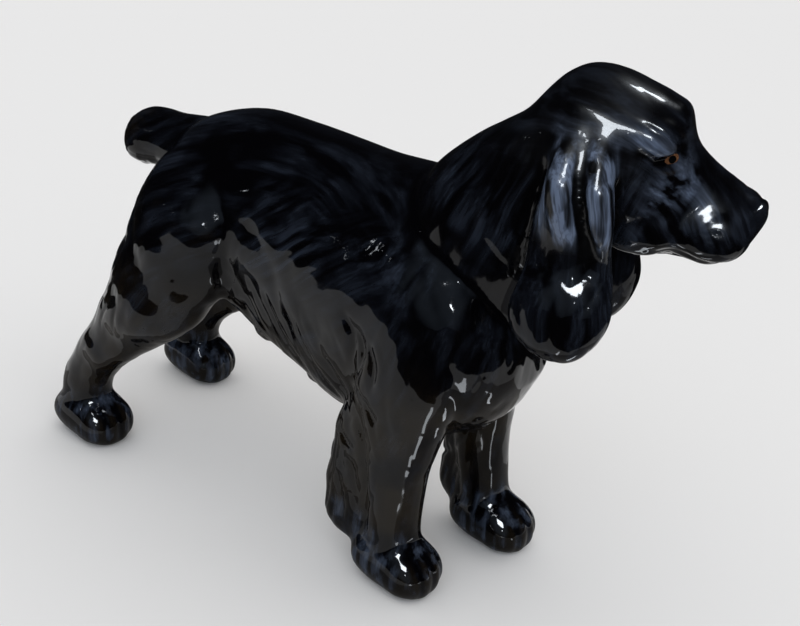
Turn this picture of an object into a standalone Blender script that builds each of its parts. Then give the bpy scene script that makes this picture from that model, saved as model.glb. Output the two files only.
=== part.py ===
"""A standing porcelain spaniel figurine, as a pottery builds one: nine slip castings luted together.

The whole figure is sculpted first, from rows of cross-sections, and then sawn into the castings that
the moulds make: torso, head, two ears, four legs and the tail. The torso and the head are hollow, as
a drained casting is, and the hollow breathes through a vent under the belly. The nose points to +X,
the dog's left side to +Y, and the paws stand on Z = 0. Sizes are millimetres, and the tables of
cross-sections hold shares of them.
"""

import math

import bmesh
import bpy
from mathutils import Matrix, Vector

MM = 0.001

# Torso, neck and tail.
BACK_HEIGHT = 94.0
CHEST_DEPTH = 63.0
TORSO_LENGTH = 104.0
TORSO_WIDTH = 43.0
NECK_DEPTH = 34.0
NECK_WIDTH = 32.0
NECK_SINK = 24.0
NECK_TOP_DROP = 7.0
TAIL_LENGTH = 28.3
TAIL_WIDTH = 16.0
TAIL_DEPTH = 17.6
TAIL_SINK = 9.0
TAIL_DROP = 6.0
RUMP_OVERHANG = 8.0
APRON_TILT = 24.0
FRINGE_TILT = -18.0

# Head and ears.
HEAD_RISE = 31.0
HEAD_LENGTH = 49.5
HEAD_WIDTH = 29.0
HEAD_DEPTH = 35.4
HEAD_TURN = 17.0
HEAD_PIVOT_LEAD = 5.0
NAPE_SETBACK = 9.0
NOSE_WIDTH = 11.0
EYE_DIAMETER = 6.4
EAR_LENGTH = {"right": 49.8, "left": 56.0}
EAR_LEAD = {"right": 0.0, "left": 0.8}
EAR_WIDTH = 22.0
EAR_THICKNESS = 8.0
EAR_SPREAD = 18.5
EAR_DROP = 6.0
BROW_TILT = 12.0
LIP_TILT = -8.0
NOSE_TILT = -18.0

# Legs and paws.
FORELEG_DEPTH = 13.0
FORELEG_WIDTH = 12.6
FORE_STANCE = 32.2
SHOULDER_SETBACK = {"right": 21.5, "left": 24.0}
FORE_STRIDE = {"right": 4.2, "left": 13.0}
FEATHER_LENGTH = {"right": 22.6, "left": 17.5}
FEATHER_WIDTH = 9.6
THIGH_DEPTH = 32.0
THIGH_WIDTH = 21.6
HIND_STANCE = {"right": 43.2, "left": 48.6}
HIP_SETIN = 18.0
HIND_STRIDE = {"right": 27.9, "left": 33.4}
PAW_LENGTH = 22.0
PAW_WIDTH = 15.6
PAW_HEIGHT = 13.2
TOE_DIAMETER = 6.6
TOE_TILT = 12.0
ELBOW_SHARE = 0.64
HIP_SHARE = 0.83

# The castings: their wall, the vent, and the gap at each luted seam.
WALL = 4.0
VENT_DIAMETER = 3.0
SEAM = 0.3
FORELEG_SEAM_DROP = 1.6
HINDLEG_SEAM_DROP = 3.0
TAIL_SEAM_SETBACK = 1.5
NECK_SEAM_TILT = 22.0
SAW_OVERRUN = 1.0

# How finely the sculpture is worked.
VOXEL = 1.0
SMOOTHING_PASSES = 5
SPOKES = 48
RINGS = 34
CORE_SPOKES = 16
CORE_RINGS = 14
FIGURE_FACETS = 8800
CORE_FACETS = 900
BODY_SQUARE = 2.2
BLOCK_SQUARE = 4.0

SIDES = {"right": -1.0, "left": 1.0}
RUMP_X = -TORSO_LENGTH / 2 - RUMP_OVERHANG
CHEST_X = RUMP_X + TORSO_LENGTH
NAPE_X = CHEST_X - NAPE_SETBACK
CROWN_HEIGHT = BACK_HEIGHT + HEAD_RISE
BRISKET_HEIGHT = BACK_HEIGHT - CHEST_DEPTH
LOIN_HEIGHT = BRISKET_HEIGHT + 0.16 * CHEST_DEPTH
HEAD_PIVOT = Vector((NAPE_X + HEAD_PIVOT_LEAD, 0.0, CROWN_HEIGHT - HEAD_DEPTH))


def eased(rows, count):
    """Rows read from a smooth curve through the given rows, count of them."""
    made = []
    for step in range(count):
        place = step * (len(rows) - 1) / (count - 1)
        first = min(int(place), len(rows) - 2)
        t = place - first
        before = rows[max(first - 1, 0)]
        start, end = rows[first], rows[first + 1]
        after = rows[min(first + 2, len(rows) - 1)]
        row = []
        for a, b, c, d in zip(before, start, end, after):
            bend = (2 * a - 5 * b + 4 * c - d) * t * t + (3 * b - a - 3 * c + d) * t ** 3
            row.append(0.5 * (2 * b + (c - a) * t + bend))
        made.append(row)
    return made


def add_body(bm, rows, along, square=2.0, spokes=SPOKES, rings=RINGS):
    """A sphere whose rings take the shape of the rows: station, low, high, side, half width.

    Along "x" the slices stand upright, low and high being heights. Along "z" they lie flat, low and
    high being the back and the front edge. A square of 2 is an ellipse, and more is boxier.
    """
    body = bmesh.ops.create_uvsphere(bm, u_segments=spokes, v_segments=rings + 1, radius=1.0)
    sections = eased(rows, rings)
    for vert in body["verts"]:
        polar = math.acos(max(-1.0, min(1.0, vert.co.z))) / math.pi
        ring = round(polar * (rings + 1)) - 1
        at_pole = ring < 0 or ring >= rings
        station, low, high, side, half = sections[max(0, min(rings - 1, ring))]
        turn = math.atan2(vert.co.y, vert.co.x)
        cosine, sine = math.cos(turn), math.sin(turn)
        across = math.copysign(abs(cosine) ** (2 / square), cosine) * half
        upright = math.copysign(abs(sine) ** (2 / square), sine) * (high - low) / 2
        if at_pole:
            across = upright = 0.0
        middle = (low + high) / 2 + upright
        if along == "x":
            vert.co = Vector((station, side + across, middle))
        else:
            vert.co = Vector((middle, side + across, station))
    mirrored = (along == "x") == (rows[-1][0] > rows[0][0])
    if mirrored:
        faces = list({face for vert in body["verts"] for face in vert.link_faces})
        bmesh.ops.reverse_faces(bm, faces=faces)
    return body["verts"]


def add_lobe(bm, centre, radii, tilt=0.0):
    """An ellipsoid, for a muscle, a toe or a tuft. tilt leans its top forwards, in degrees."""
    place = Matrix.Translation(centre) @ Matrix.Rotation(math.radians(tilt), 4, "Y")
    shape = place @ Matrix.Diagonal((*radii, 1.0))
    lobe = bmesh.ops.create_uvsphere(bm, u_segments=16, v_segments=10, radius=1.0, matrix=shape)
    return lobe["verts"]


def torso_rows(inset=0.0):
    table = [
        (0.00, 0.22, 0.67, 0.22),
        (0.04, 0.12, 0.52, 0.56),
        (0.10, 0.06, 0.40, 0.82),
        (0.19, 0.014, 0.25, 0.93),
        (0.30, 0.003, 0.16, 0.90),
        (0.43, 0.006, 0.10, 0.94),
        (0.56, 0.013, 0.018, 1.00),
        (0.68, 0.002, 0.00, 1.02),
        (0.79, 0.016, 0.016, 1.00),
        (0.89, 0.127, 0.095, 0.90),
        (0.96, 0.333, 0.20, 0.68),
        (1.00, 0.508, 0.35, 0.34),
    ]
    rows = []
    for share, drop, rise, width in table:
        low = BRISKET_HEIGHT + rise * CHEST_DEPTH + inset
        high = BACK_HEIGHT - drop * CHEST_DEPTH - inset
        rows.append((RUMP_X + share * TORSO_LENGTH, low, high, 0.0, width * TORSO_WIDTH / 2 - inset))
    return rows


def neck_rows(inset=0.0):
    base = BACK_HEIGHT - NECK_SINK
    top = CROWN_HEIGHT - NECK_TOP_DROP
    table = [
        (0.00, -0.87, 0.24, 0.92),
        (0.22, -0.81, 0.32, 1.02),
        (0.43, -0.69, 0.40, 1.03),
        (0.60, -0.545, 0.47, 0.96),
        (0.78, -0.275, 0.50, 0.86),
        (0.92, -0.01, 0.50, 0.74),
        (1.00, 0.04, 0.44, 0.50),
    ]
    rows = []
    for share, back, front, width in table:
        height = base + share * (top - base)
        half = width * NECK_WIDTH / 2 - inset
        rows.append((height, NAPE_X + back * NECK_DEPTH + inset, NAPE_X + front * NECK_DEPTH - inset, 0.0, half))
    return rows


def head_rows(inset=0.0):
    """Crown, forehead, stop, bridge and nose along the top; throat, jaw and lips along the bottom."""
    table = [
        (0.00, 0.28, 0.54, 0.25),
        (0.07, 0.118, 0.71, 0.66),
        (0.18, 0.003, 0.82, 0.90),
        (0.31, -0.006, 0.89, 0.98),
        (0.44, 0.042, 0.96, 0.96),
        (0.55, 0.096, 1.00, 0.86),
        (0.61, 0.141, 1.00, 0.76),
        (0.655, 0.30, 0.99, 0.66),
        (0.72, 0.39, 0.995, 0.57),
        (0.81, 0.463, 0.99, 0.55),
        (0.91, 0.531, 0.91, 0.50),
        (0.97, 0.565, 0.77, 0.42),
        (1.00, 0.60, 0.68, 0.24),
    ]
    rows = []
    for share, drop, deep, width in table:
        low = CROWN_HEIGHT - deep * HEAD_DEPTH + inset
        high = CROWN_HEIGHT - drop * HEAD_DEPTH - inset
        rows.append((NAPE_X + share * HEAD_LENGTH, low, high, 0.0, width * HEAD_WIDTH / 2 - inset))
    return rows


def ear_slices(side, table):
    """Flat slices down one ear, from shares of its length, width, spread and thickness."""
    root = CROWN_HEIGHT - EAR_DROP
    rows = []
    for share, back, front, out, thick in table:
        rear = NAPE_X + back * EAR_WIDTH + share * EAR_LEAD[side]
        fore = NAPE_X + front * EAR_WIDTH + share * EAR_LEAD[side]
        rows.append((root - share * EAR_LENGTH[side], rear, fore, SIDES[side] * out * EAR_SPREAD,
                     thick * EAR_THICKNESS / 2))
    return rows


def ear_tables():
    """The flap, its two long folds of hair, the round lobe at its end and the web to the neck."""
    flap = [
        (0.00, 0.36, 0.82, 0.52, 0.45),
        (0.14, 0.33, 0.88, 0.76, 0.95),
        (0.32, 0.31, 0.93, 0.85, 0.95),
        (0.48, 0.31, 1.00, 0.88, 0.90),
        (0.62, 0.28, 1.10, 0.92, 0.95),
        (0.76, 0.24, 1.15, 0.96, 0.95),
        (0.90, 0.30, 1.08, 1.00, 0.80),
        (0.98, 0.52, 0.88, 1.02, 0.40),
    ]
    front_fold = [
        (0.02, 0.60, 0.86, 0.56, 0.40),
        (0.14, 0.62, 0.90, 0.86, 0.75),
        (0.26, 0.66, 0.95, 1.02, 0.85),
        (0.38, 0.73, 1.01, 1.05, 0.80),
        (0.48, 0.84, 1.04, 1.06, 0.60),
        (0.55, 0.95, 1.05, 1.04, 0.30),
    ]
    rear_fold = [
        (0.02, 0.36, 0.60, 0.56, 0.40),
        (0.16, 0.33, 0.60, 0.88, 0.80),
        (0.28, 0.35, 0.66, 1.02, 0.95),
        (0.40, 0.40, 0.74, 1.03, 0.85),
        (0.52, 0.52, 0.80, 1.02, 0.60),
        (0.60, 0.62, 0.78, 1.00, 0.30),
    ]
    lobe = [
        (0.60, 0.44, 1.02, 0.96, 0.50),
        (0.68, 0.28, 1.12, 1.02, 0.95),
        (0.78, 0.20, 1.17, 1.05, 1.25),
        (0.88, 0.22, 1.10, 1.06, 1.20),
        (0.95, 0.34, 1.00, 1.06, 0.90),
        (1.01, 0.55, 0.86, 1.05, 0.40),
    ]
    web = [
        (0.10, 0.30, 0.60, 0.50, 1.20),
        (0.40, 0.24, 0.70, 0.62, 1.40),
        (0.75, 0.26, 0.82, 0.74, 1.30),
        (0.92, 0.40, 0.70, 0.80, 0.80),
    ]
    return flap, front_fold, rear_fold, lobe, web


def ear_block(side, grow):
    """The space that an ear casting fills, its inner face lying in the wall of the head."""
    table = [
        (-0.02, 0.44, 0.74, 0.86, 0.70),
        (0.08, 0.26, 0.98, 0.94, 1.20),
        (0.30, 0.20, 1.08, 1.00, 1.45),
        (0.50, 0.18, 1.18, 1.03, 1.50),
        (0.70, 0.08, 1.28, 1.06, 1.65),
        (0.86, 0.08, 1.26, 1.08, 1.65),
        (0.98, 0.22, 1.10, 1.08, 1.40),
        (1.07, 0.46, 0.92, 1.06, 0.80),
    ]
    rows = []
    slices = ear_slices(side, table)
    for place, (height, back, front, out, half) in enumerate(slices):
        lift = grow * (1 - 2 * place / (len(slices) - 1))
        rows.append((height + lift, back - grow, front + grow, out, half + grow))
    bm = bmesh.new()
    turn_head(bm, add_body(bm, rows, "z", BLOCK_SQUARE, CORE_SPOKES, CORE_RINGS))
    return finished_mesh("ear_block", bm)


def shoulder_x(side):
    return CHEST_X - SHOULDER_SETBACK[side]


def forepaw_x(side):
    return shoulder_x(side) + FORE_STRIDE[side]


def hip_x():
    return RUMP_X + HIP_SETIN


def hindpaw_x(side):
    return hip_x() - HIND_STRIDE[side]


def foreleg_rows(side):
    table = [
        (0.86, -0.60, 0.50, -0.22, 0.30),
        (0.76, -1.00, 0.80, -0.14, 0.60),
        (0.66, -1.12, 0.98, -0.09, 0.73),
        (0.56, -1.12, 1.02, -0.05, 0.77),
        (0.47, -0.96, 0.87, -0.02, 0.71),
        (0.37, -0.73, 0.62, 0.0, 0.60),
        (0.29, -0.62, 0.45, 0.0, 0.54),
        (0.19, -0.54, 0.39, 0.0, 0.50),
        (0.117, -0.50, 0.39, 0.0, 0.49),
        (0.064, -0.42, 0.38, 0.0, 0.44),
    ]
    rows = []
    for share, back, front, out, half in table:
        height = share * BACK_HEIGHT
        line = forepaw_x(side) - FORE_STRIDE[side] * share / ELBOW_SHARE
        rows.append((height, line + back * FORELEG_DEPTH, line + front * FORELEG_DEPTH,
                     SIDES[side] * (0.5 + out) * FORE_STANCE, half * FORELEG_WIDTH))
    return rows


def feather_rows(side):
    """The fringe of long hair that hangs behind a foreleg, elbow to pastern."""
    table = [
        (0.49, 0.76, 0.42),
        (0.40, 0.89, 0.50),
        (0.32, 0.94, 0.46),
        (0.22, 0.96, 0.42),
        (0.15, 0.97, 0.38),
        (0.096, 0.96, 0.33),
        (0.060, 0.80, 0.25),
    ]
    foot = forepaw_x(side)
    return [(share * BACK_HEIGHT, foot - reach * FEATHER_LENGTH[side], foot, SIDES[side] * FORE_STANCE / 2,
             half * FEATHER_WIDTH) for share, reach, half in table]


def hindleg_rows(side):
    """Thigh, stifle, gaskin and hock down to the pastern."""
    table = [
        (0.936, -0.28, 0.28, -0.32, 0.19),
        (0.84, -0.48, 0.42, -0.24, 0.37),
        (0.713, -0.44, 0.53, -0.15, 0.51),
        (0.574, -0.39, 0.61, -0.08, 0.50),
        (0.490, -0.345, 0.60, -0.04, 0.46),
        (0.425, -0.34, 0.53, -0.02, 0.40),
        (0.360, -0.36, 0.33, -0.01, 0.325),
        (0.277, -0.42, 0.122, 0.0, 0.287),
        (0.191, -0.456, -0.025, 0.0, 0.273),
        (0.106, -0.39, 0.016, 0.0, 0.269),
        (0.064, -0.344, 0.063, 0.0, 0.255),
    ]
    rows = []
    for share, back, front, out, half in table:
        line = hindpaw_x(side) + HIND_STRIDE[side] * share / HIP_SHARE
        rows.append((share * BACK_HEIGHT, line + back * THIGH_DEPTH, line + front * THIGH_DEPTH,
                     SIDES[side] * (HIND_STANCE[side] / 2 + out * TORSO_WIDTH), half * THIGH_WIDTH))
    return rows


def paw_rows(paw_x, side_y):
    table = [
        (-0.50, 0.30, 0.58, 0.45),
        (-0.40, 0.07, 0.78, 0.78),
        (-0.15, -0.07, 0.94, 0.95),
        (0.15, -0.08, 0.92, 1.00),
        (0.36, -0.06, 0.76, 0.90),
        (0.47, 0.04, 0.57, 0.62),
        (0.50, 0.15, 0.42, 0.32),
    ]
    return [(paw_x + share * PAW_LENGTH, low * PAW_HEIGHT, high * PAW_HEIGHT, side_y, width * PAW_WIDTH / 2)
            for share, low, high, width in table]


def tail_rows():
    """A docked tail, carried level, with a bulb of hair at its end."""
    root_x = RUMP_X + TAIL_SINK
    top = BACK_HEIGHT - TAIL_DROP
    table = [
        (0.00, 0.0, -1.20, 0.85),
        (0.30, -0.085, -1.02, 0.90),
        (0.55, -0.148, -0.94, 0.88),
        (0.80, -0.17, -1.00, 1.00),
        (0.93, -0.273, -0.955, 0.85),
        (1.00, -0.483, -0.795, 0.40),
    ]
    return [(root_x - share * TAIL_LENGTH, top + low * TAIL_DEPTH, top + high * TAIL_DEPTH, 0.0,
             width * TAIL_WIDTH / 2) for share, high, low, width in table]


def add_face(bm):
    """Brows, eyes, cheeks, hanging lips and the nose pad, on the head before it is turned."""
    eye_x = NAPE_X + 0.575 * HEAD_LENGTH
    eye_z = CROWN_HEIGHT - 0.375 * HEAD_DEPTH
    nose_x = NAPE_X + HEAD_LENGTH - 0.36 * NOSE_WIDTH
    nose_z = CROWN_HEIGHT - 0.635 * HEAD_DEPTH
    added = add_lobe(bm, (nose_x, 0.0, nose_z), (0.38 * NOSE_WIDTH, 0.5 * NOSE_WIDTH, 0.30 * NOSE_WIDTH), NOSE_TILT)
    for turn in SIDES.values():
        eye_y = turn * 0.30 * HEAD_WIDTH
        radius = EYE_DIAMETER / 2
        added += add_lobe(bm, (eye_x, eye_y, eye_z), (radius, radius, radius))
        brow = (eye_x - 0.6 * radius, 0.86 * eye_y, eye_z + 1.5 * radius)
        added += add_lobe(bm, brow, (1.5 * radius, 0.95 * radius, 0.7 * radius), BROW_TILT)
        for lead, drop in ((0.30, 0.21), (0.45, 0.265)):
            ridge = (NAPE_X + lead * HEAD_LENGTH, turn * 0.41 * HEAD_WIDTH, CROWN_HEIGHT - drop * HEAD_DEPTH)
            added += add_lobe(bm, ridge, (0.17 * HEAD_LENGTH, 0.10 * HEAD_WIDTH, 0.075 * HEAD_DEPTH), BROW_TILT)
        cheek = (eye_x - 1.6 * radius, 0.98 * eye_y, eye_z - 3.0 * radius)
        added += add_lobe(bm, cheek, (2.6 * radius, 1.25 * radius, 2.3 * radius))
        jowl = (eye_x - 1.0 * radius, 0.93 * eye_y, eye_z - 4.6 * radius)
        added += add_lobe(bm, jowl, (3.0 * radius, 1.2 * radius, 2.0 * radius))
        lip = (NAPE_X + 0.80 * HEAD_LENGTH, turn * 0.215 * HEAD_WIDTH, CROWN_HEIGHT - 0.79 * HEAD_DEPTH)
        added += add_lobe(bm, lip, (0.165 * HEAD_LENGTH, 0.165 * HEAD_WIDTH, 0.17 * HEAD_DEPTH), LIP_TILT)
    return added


def add_toes(bm, paw_x, side_y):
    """Four toes side by side along the front of a paw, the middle pair leading."""
    radius = TOE_DIAMETER / 2
    for place in (-1.5, -0.5, 0.5, 1.5):
        lead = 0.5 - 0.035 * place * place
        centre = (paw_x + lead * PAW_LENGTH - 1.5 * radius, side_y + place * 0.245 * PAW_WIDTH, 0.36 * PAW_HEIGHT)
        add_lobe(bm, centre, (1.5 * radius, 0.72 * radius, 1.35 * radius), TOE_TILT)


def add_apron(bm):
    """Tufts of the chest hair, longest in the middle, hanging between the forelegs."""
    for place in (-1.0, -0.5, 0.0, 0.5, 1.0):
        length = (0.30 - 0.08 * place * place) * CHEST_DEPTH
        centre = (CHEST_X - (0.055 + 0.09 * abs(place)) * TORSO_LENGTH, place * 0.30 * TORSO_WIDTH,
                  BRISKET_HEIGHT + 0.26 * CHEST_DEPTH)
        add_lobe(bm, centre, (0.11 * length, 0.20 * length, 0.62 * length), APRON_TILT)


def add_belly_fringe(bm):
    """Short tufts that follow the belly line back to the tuck-up."""
    for share, rise in ((0.36, 0.135), (0.44, 0.105), (0.52, 0.055), (0.60, 0.02)):
        for turn in SIDES.values():
            centre = (RUMP_X + share * TORSO_LENGTH, turn * 0.16 * TORSO_WIDTH,
                      BRISKET_HEIGHT + (rise + 0.07) * CHEST_DEPTH)
            add_lobe(bm, centre, (0.06 * TORSO_LENGTH, 0.09 * TORSO_WIDTH, 0.055 * CHEST_DEPTH), FRINGE_TILT)


def turn_head(bm, verts):
    """The head looks a little to the dog's left."""
    turn = Matrix.Rotation(math.radians(HEAD_TURN), 3, "Z")
    bmesh.ops.rotate(bm, cent=HEAD_PIVOT, matrix=turn, verts=verts)


def finished_mesh(name, bm):
    bmesh.ops.scale(bm, vec=(MM, MM, MM), verts=bm.verts)
    mesh = bpy.data.meshes.new(name)
    bm.to_mesh(mesh)
    bm.free()
    return mesh


def figure_bodies():
    """The whole dog as overlapping bodies."""
    bm = bmesh.new()
    add_body(bm, torso_rows(), "x", BODY_SQUARE)
    add_body(bm, neck_rows(), "z")
    add_body(bm, tail_rows(), "x")
    turn_head(bm, add_body(bm, head_rows(), "x", BODY_SQUARE) + add_face(bm))
    add_apron(bm)
    add_belly_fringe(bm)
    for side, turn in SIDES.items():
        for table in ear_tables():
            turn_head(bm, add_body(bm, ear_slices(side, table), "z", BODY_SQUARE))
        add_body(bm, foreleg_rows(side), "z")
        add_body(bm, feather_rows(side), "z")
        add_body(bm, hindleg_rows(side), "z")
        for paw_x, stance in ((forepaw_x(side), FORE_STANCE), (hindpaw_x(side), HIND_STANCE[side])):
            add_body(bm, paw_rows(paw_x, turn * stance / 2), "x", BODY_SQUARE)
            add_toes(bm, paw_x, turn * stance / 2)
    return finished_mesh("figure_bodies", bm)


def core_bodies():
    """The slip that is poured back out: torso, neck and head, one wall in from the outside."""
    bm = bmesh.new()
    add_body(bm, torso_rows(WALL)[1:-1], "x", BODY_SQUARE, CORE_SPOKES, CORE_RINGS)
    add_body(bm, neck_rows(WALL), "z", 2.0, CORE_SPOKES, CORE_RINGS)
    turn_head(bm, add_body(bm, head_rows(WALL)[1:-4], "x", BODY_SQUARE, CORE_SPOKES, CORE_RINGS))
    return finished_mesh("core_bodies", bm)


def fused(mesh, facets, passes=SMOOTHING_PASSES, voxel=VOXEL):
    """The overlapping bodies of a mesh worked into one skin, smoothed and brought to about facets."""
    work = bpy.data.objects.new("work", mesh)
    bpy.context.scene.collection.objects.link(work)
    remesh = work.modifiers.new("fuse", "REMESH")
    remesh.mode = "VOXEL"
    remesh.voxel_size = voxel * MM
    smooth = work.modifiers.new("soften", "SMOOTH")
    smooth.iterations = passes
    graph = bpy.context.evaluated_depsgraph_get()
    count = 2 * len(work.evaluated_get(graph).data.polygons)
    thin = work.modifiers.new("thin", "DECIMATE")
    thin.ratio = min(1.0, facets / count)
    graph = bpy.context.evaluated_depsgraph_get()
    skin = bpy.data.meshes.new_from_object(work.evaluated_get(graph))
    bpy.data.objects.remove(work)
    return skin


def trim_soles(mesh):
    """The paws ground flat on the plane that they stand on."""
    bm = bmesh.new()
    bm.from_mesh(mesh)
    geom = bm.verts[:] + bm.edges[:] + bm.faces[:]
    bmesh.ops.bisect_plane(bm, geom=geom, plane_co=(0, 0, 0), plane_no=(0, 0, -1), clear_outer=True)
    bmesh.ops.holes_fill(bm, edges=bm.edges)
    bm.to_mesh(mesh)
    bm.free()


def glaze(name, shade, roughness=0.08):
    """Black glaze, a little browner where it runs thin."""
    material = bpy.data.materials.new(name)
    material.use_nodes = True
    shader = material.node_tree.nodes["Principled BSDF"]
    shader.inputs["Base Color"].default_value = (*shade, 1.0)
    shader.inputs["Roughness"].default_value = roughness
    shader.inputs["Metallic"].default_value = 0.0
    return material


class Bench:
    """Where the castings and the saws are kept, all standing on one empty."""

    def __init__(self, middle):
        self.castings = bpy.data.collections.new("spaniel_figurine")
        self.saws = bpy.data.collections.new("saws")
        for collection in (self.castings, self.saws):
            bpy.context.scene.collection.children.link(collection)
        self.stand = bpy.data.objects.new("stand", None)
        self.stand.location = (-middle.x, -middle.y, 0.0)
        self.castings.objects.link(self.stand)

    def casting(self, name, mesh, shade):
        piece = bpy.data.objects.new(name, mesh.copy())
        piece.data.name = name
        piece.data.materials.clear()
        piece.data.materials.append(glaze(name + "_glaze", shade))
        piece.data.shade_smooth()
        piece.parent = self.stand
        self.castings.objects.link(piece)
        return piece

    def saw(self, name, mesh):
        cutter = bpy.data.objects.new(name, mesh)
        cutter.hide_render = True
        cutter.display_type = "WIRE"
        cutter.parent = self.stand
        self.saws.objects.link(cutter)
        return cutter


def cut(piece, cutter, operation="DIFFERENCE"):
    step = piece.modifiers.new(cutter.name, "BOOLEAN")
    step.operation = operation
    step.object = cutter


def block(low, high, tilt=None):
    """A box between two corners, in millimetres. tilt turns it about a point in the XZ plane."""
    bm = bmesh.new()
    size = [b - a for a, b in zip(low, high)]
    middle = [(a + b) / 2 for a, b in zip(low, high)]
    bmesh.ops.create_cube(bm, size=1.0, matrix=Matrix.Translation(middle) @ Matrix.Diagonal((*size, 1.0)))
    if tilt:
        degrees, about = tilt
        bmesh.ops.rotate(bm, cent=about, matrix=Matrix.Rotation(math.radians(degrees), 3, "Y"), verts=bm.verts)
    return finished_mesh("block", bm)


def saw_regions():
    """Each sawn-off casting's block, grown by a given amount towards the torso."""
    elbow_x = shoulder_x("right") - 2 * FORELEG_DEPTH
    elbow_height = BRISKET_HEIGHT - FORELEG_SEAM_DROP
    flank_x = RUMP_X + 0.27 * TORSO_LENGTH
    hock_height = LOIN_HEIGHT - HINDLEG_SEAM_DROP
    outside = TORSO_WIDTH * 2
    tail_x = RUMP_X - TAIL_SEAM_SETBACK
    tail_under = BACK_HEIGHT - TAIL_DROP - 1.05 * TAIL_DEPTH
    throat = (NAPE_X, 0.0, BACK_HEIGHT)

    def leg(side, x_low, x_high, seam):
        y_low, y_high = (-outside, 0.0) if side == "right" else (0.0, outside)
        return lambda grow: block((x_low, y_low, -SAW_OVERRUN), (x_high, y_high, seam + grow))

    return {
        "foreleg_right": leg("right", elbow_x, CHEST_X + TORSO_WIDTH, elbow_height),
        "foreleg_left": leg("left", elbow_x, CHEST_X + TORSO_WIDTH, elbow_height),
        "hindleg_right": leg("right", RUMP_X - TORSO_LENGTH, flank_x, hock_height),
        "hindleg_left": leg("left", RUMP_X - TORSO_LENGTH, flank_x, hock_height),
        "tail": lambda grow: block((tail_x - TORSO_LENGTH, -0.6 * TAIL_WIDTH - grow, tail_under - grow),
                                   (tail_x + grow, 0.6 * TAIL_WIDTH + grow, CROWN_HEIGHT)),
        "head": lambda grow: block((NAPE_X - TORSO_LENGTH, -outside, BACK_HEIGHT - grow),
                                   (NAPE_X + TORSO_LENGTH, outside, BACK_HEIGHT + TORSO_LENGTH),
                                   (NECK_SEAM_TILT, throat)),
        "ear_right": lambda grow: ear_block("right", grow),
        "ear_left": lambda grow: ear_block("left", grow),
    }


def build_figure(bench, figure):
    """The torso keeps what the saws leave, and each other casting keeps what lies in its own block."""
    leg_shade = (0.018, 0.017, 0.018)
    shades = {"torso": (0.012, 0.012, 0.016)}
    shades.update({name: (0.010, 0.010, 0.014) for name in ("head", "tail", "ear_right", "ear_left")})
    torso = bench.casting("torso", figure, shades["torso"])
    pieces = {"torso": torso}
    for name, region in saw_regions().items():
        piece = bench.casting(name, figure, shades.get(name, leg_shade))
        cut(piece, bench.saw(name + "_block", region(-SEAM / 2)), "INTERSECT")
        saw = bench.saw(name + "_saw", region(SEAM / 2))
        cut(torso, saw)
        if name.startswith("ear"):
            cut(pieces["head"], saw)
        pieces[name] = piece
    return pieces


def build_hollow(bench, pieces):
    """Torso and head are drained, and a vent through the belly lets the air out in the kiln."""
    core = bench.saw("core", fused(core_bodies(), CORE_FACETS, 2, 2 * VOXEL))
    for name in ("torso", "head"):
        cut(pieces[name], core)
    bm = bmesh.new()
    vent_x = RUMP_X + 0.30 * TORSO_LENGTH
    bmesh.ops.create_cone(bm, cap_ends=True, segments=24, radius1=VENT_DIAMETER / 2, radius2=VENT_DIAMETER / 2,
                          depth=5 * WALL, matrix=Matrix.Translation((vent_x, 0.0, LOIN_HEIGHT)))
    cut(pieces["torso"], bench.saw("vent", finished_mesh("vent", bm)))


def footprint_middle(mesh):
    corners = [vert.co for vert in mesh.vertices]
    low = Vector([min(corner[axis] for corner in corners) for axis in range(3)])
    high = Vector([max(corner[axis] for corner in corners) for axis in range(3)])
    return (low + high) / 2


def main():
    for obj in list(bpy.data.objects):
        bpy.data.objects.remove(obj)
    figure = fused(figure_bodies(), FIGURE_FACETS)
    trim_soles(figure)
    bench = Bench(footprint_middle(figure))
    pieces = build_figure(bench, figure)
    build_hollow(bench, pieces)


main()
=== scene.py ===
"""A glazed porcelain spaniel, dressed over its packed castings.

The dog is sculpted again from the cross-sections of its castings, much finer, combed with locks and
strokes of hair, and sliced along the same seams, so each casting gets a glazed piece of its own.
Lengths are millimetres in the sculpture's own place: nose to +X, the dog's left to +Y, paws on Z = 0.
"""

import math

import bmesh
import bpy
import numpy as np
from bpy.props import FloatProperty, FloatVectorProperty, IntProperty, PointerProperty
from mathutils import Matrix, Vector, noise
from mathutils.bvhtree import BVHTree
from mathutils.kdtree import KDTree


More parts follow.
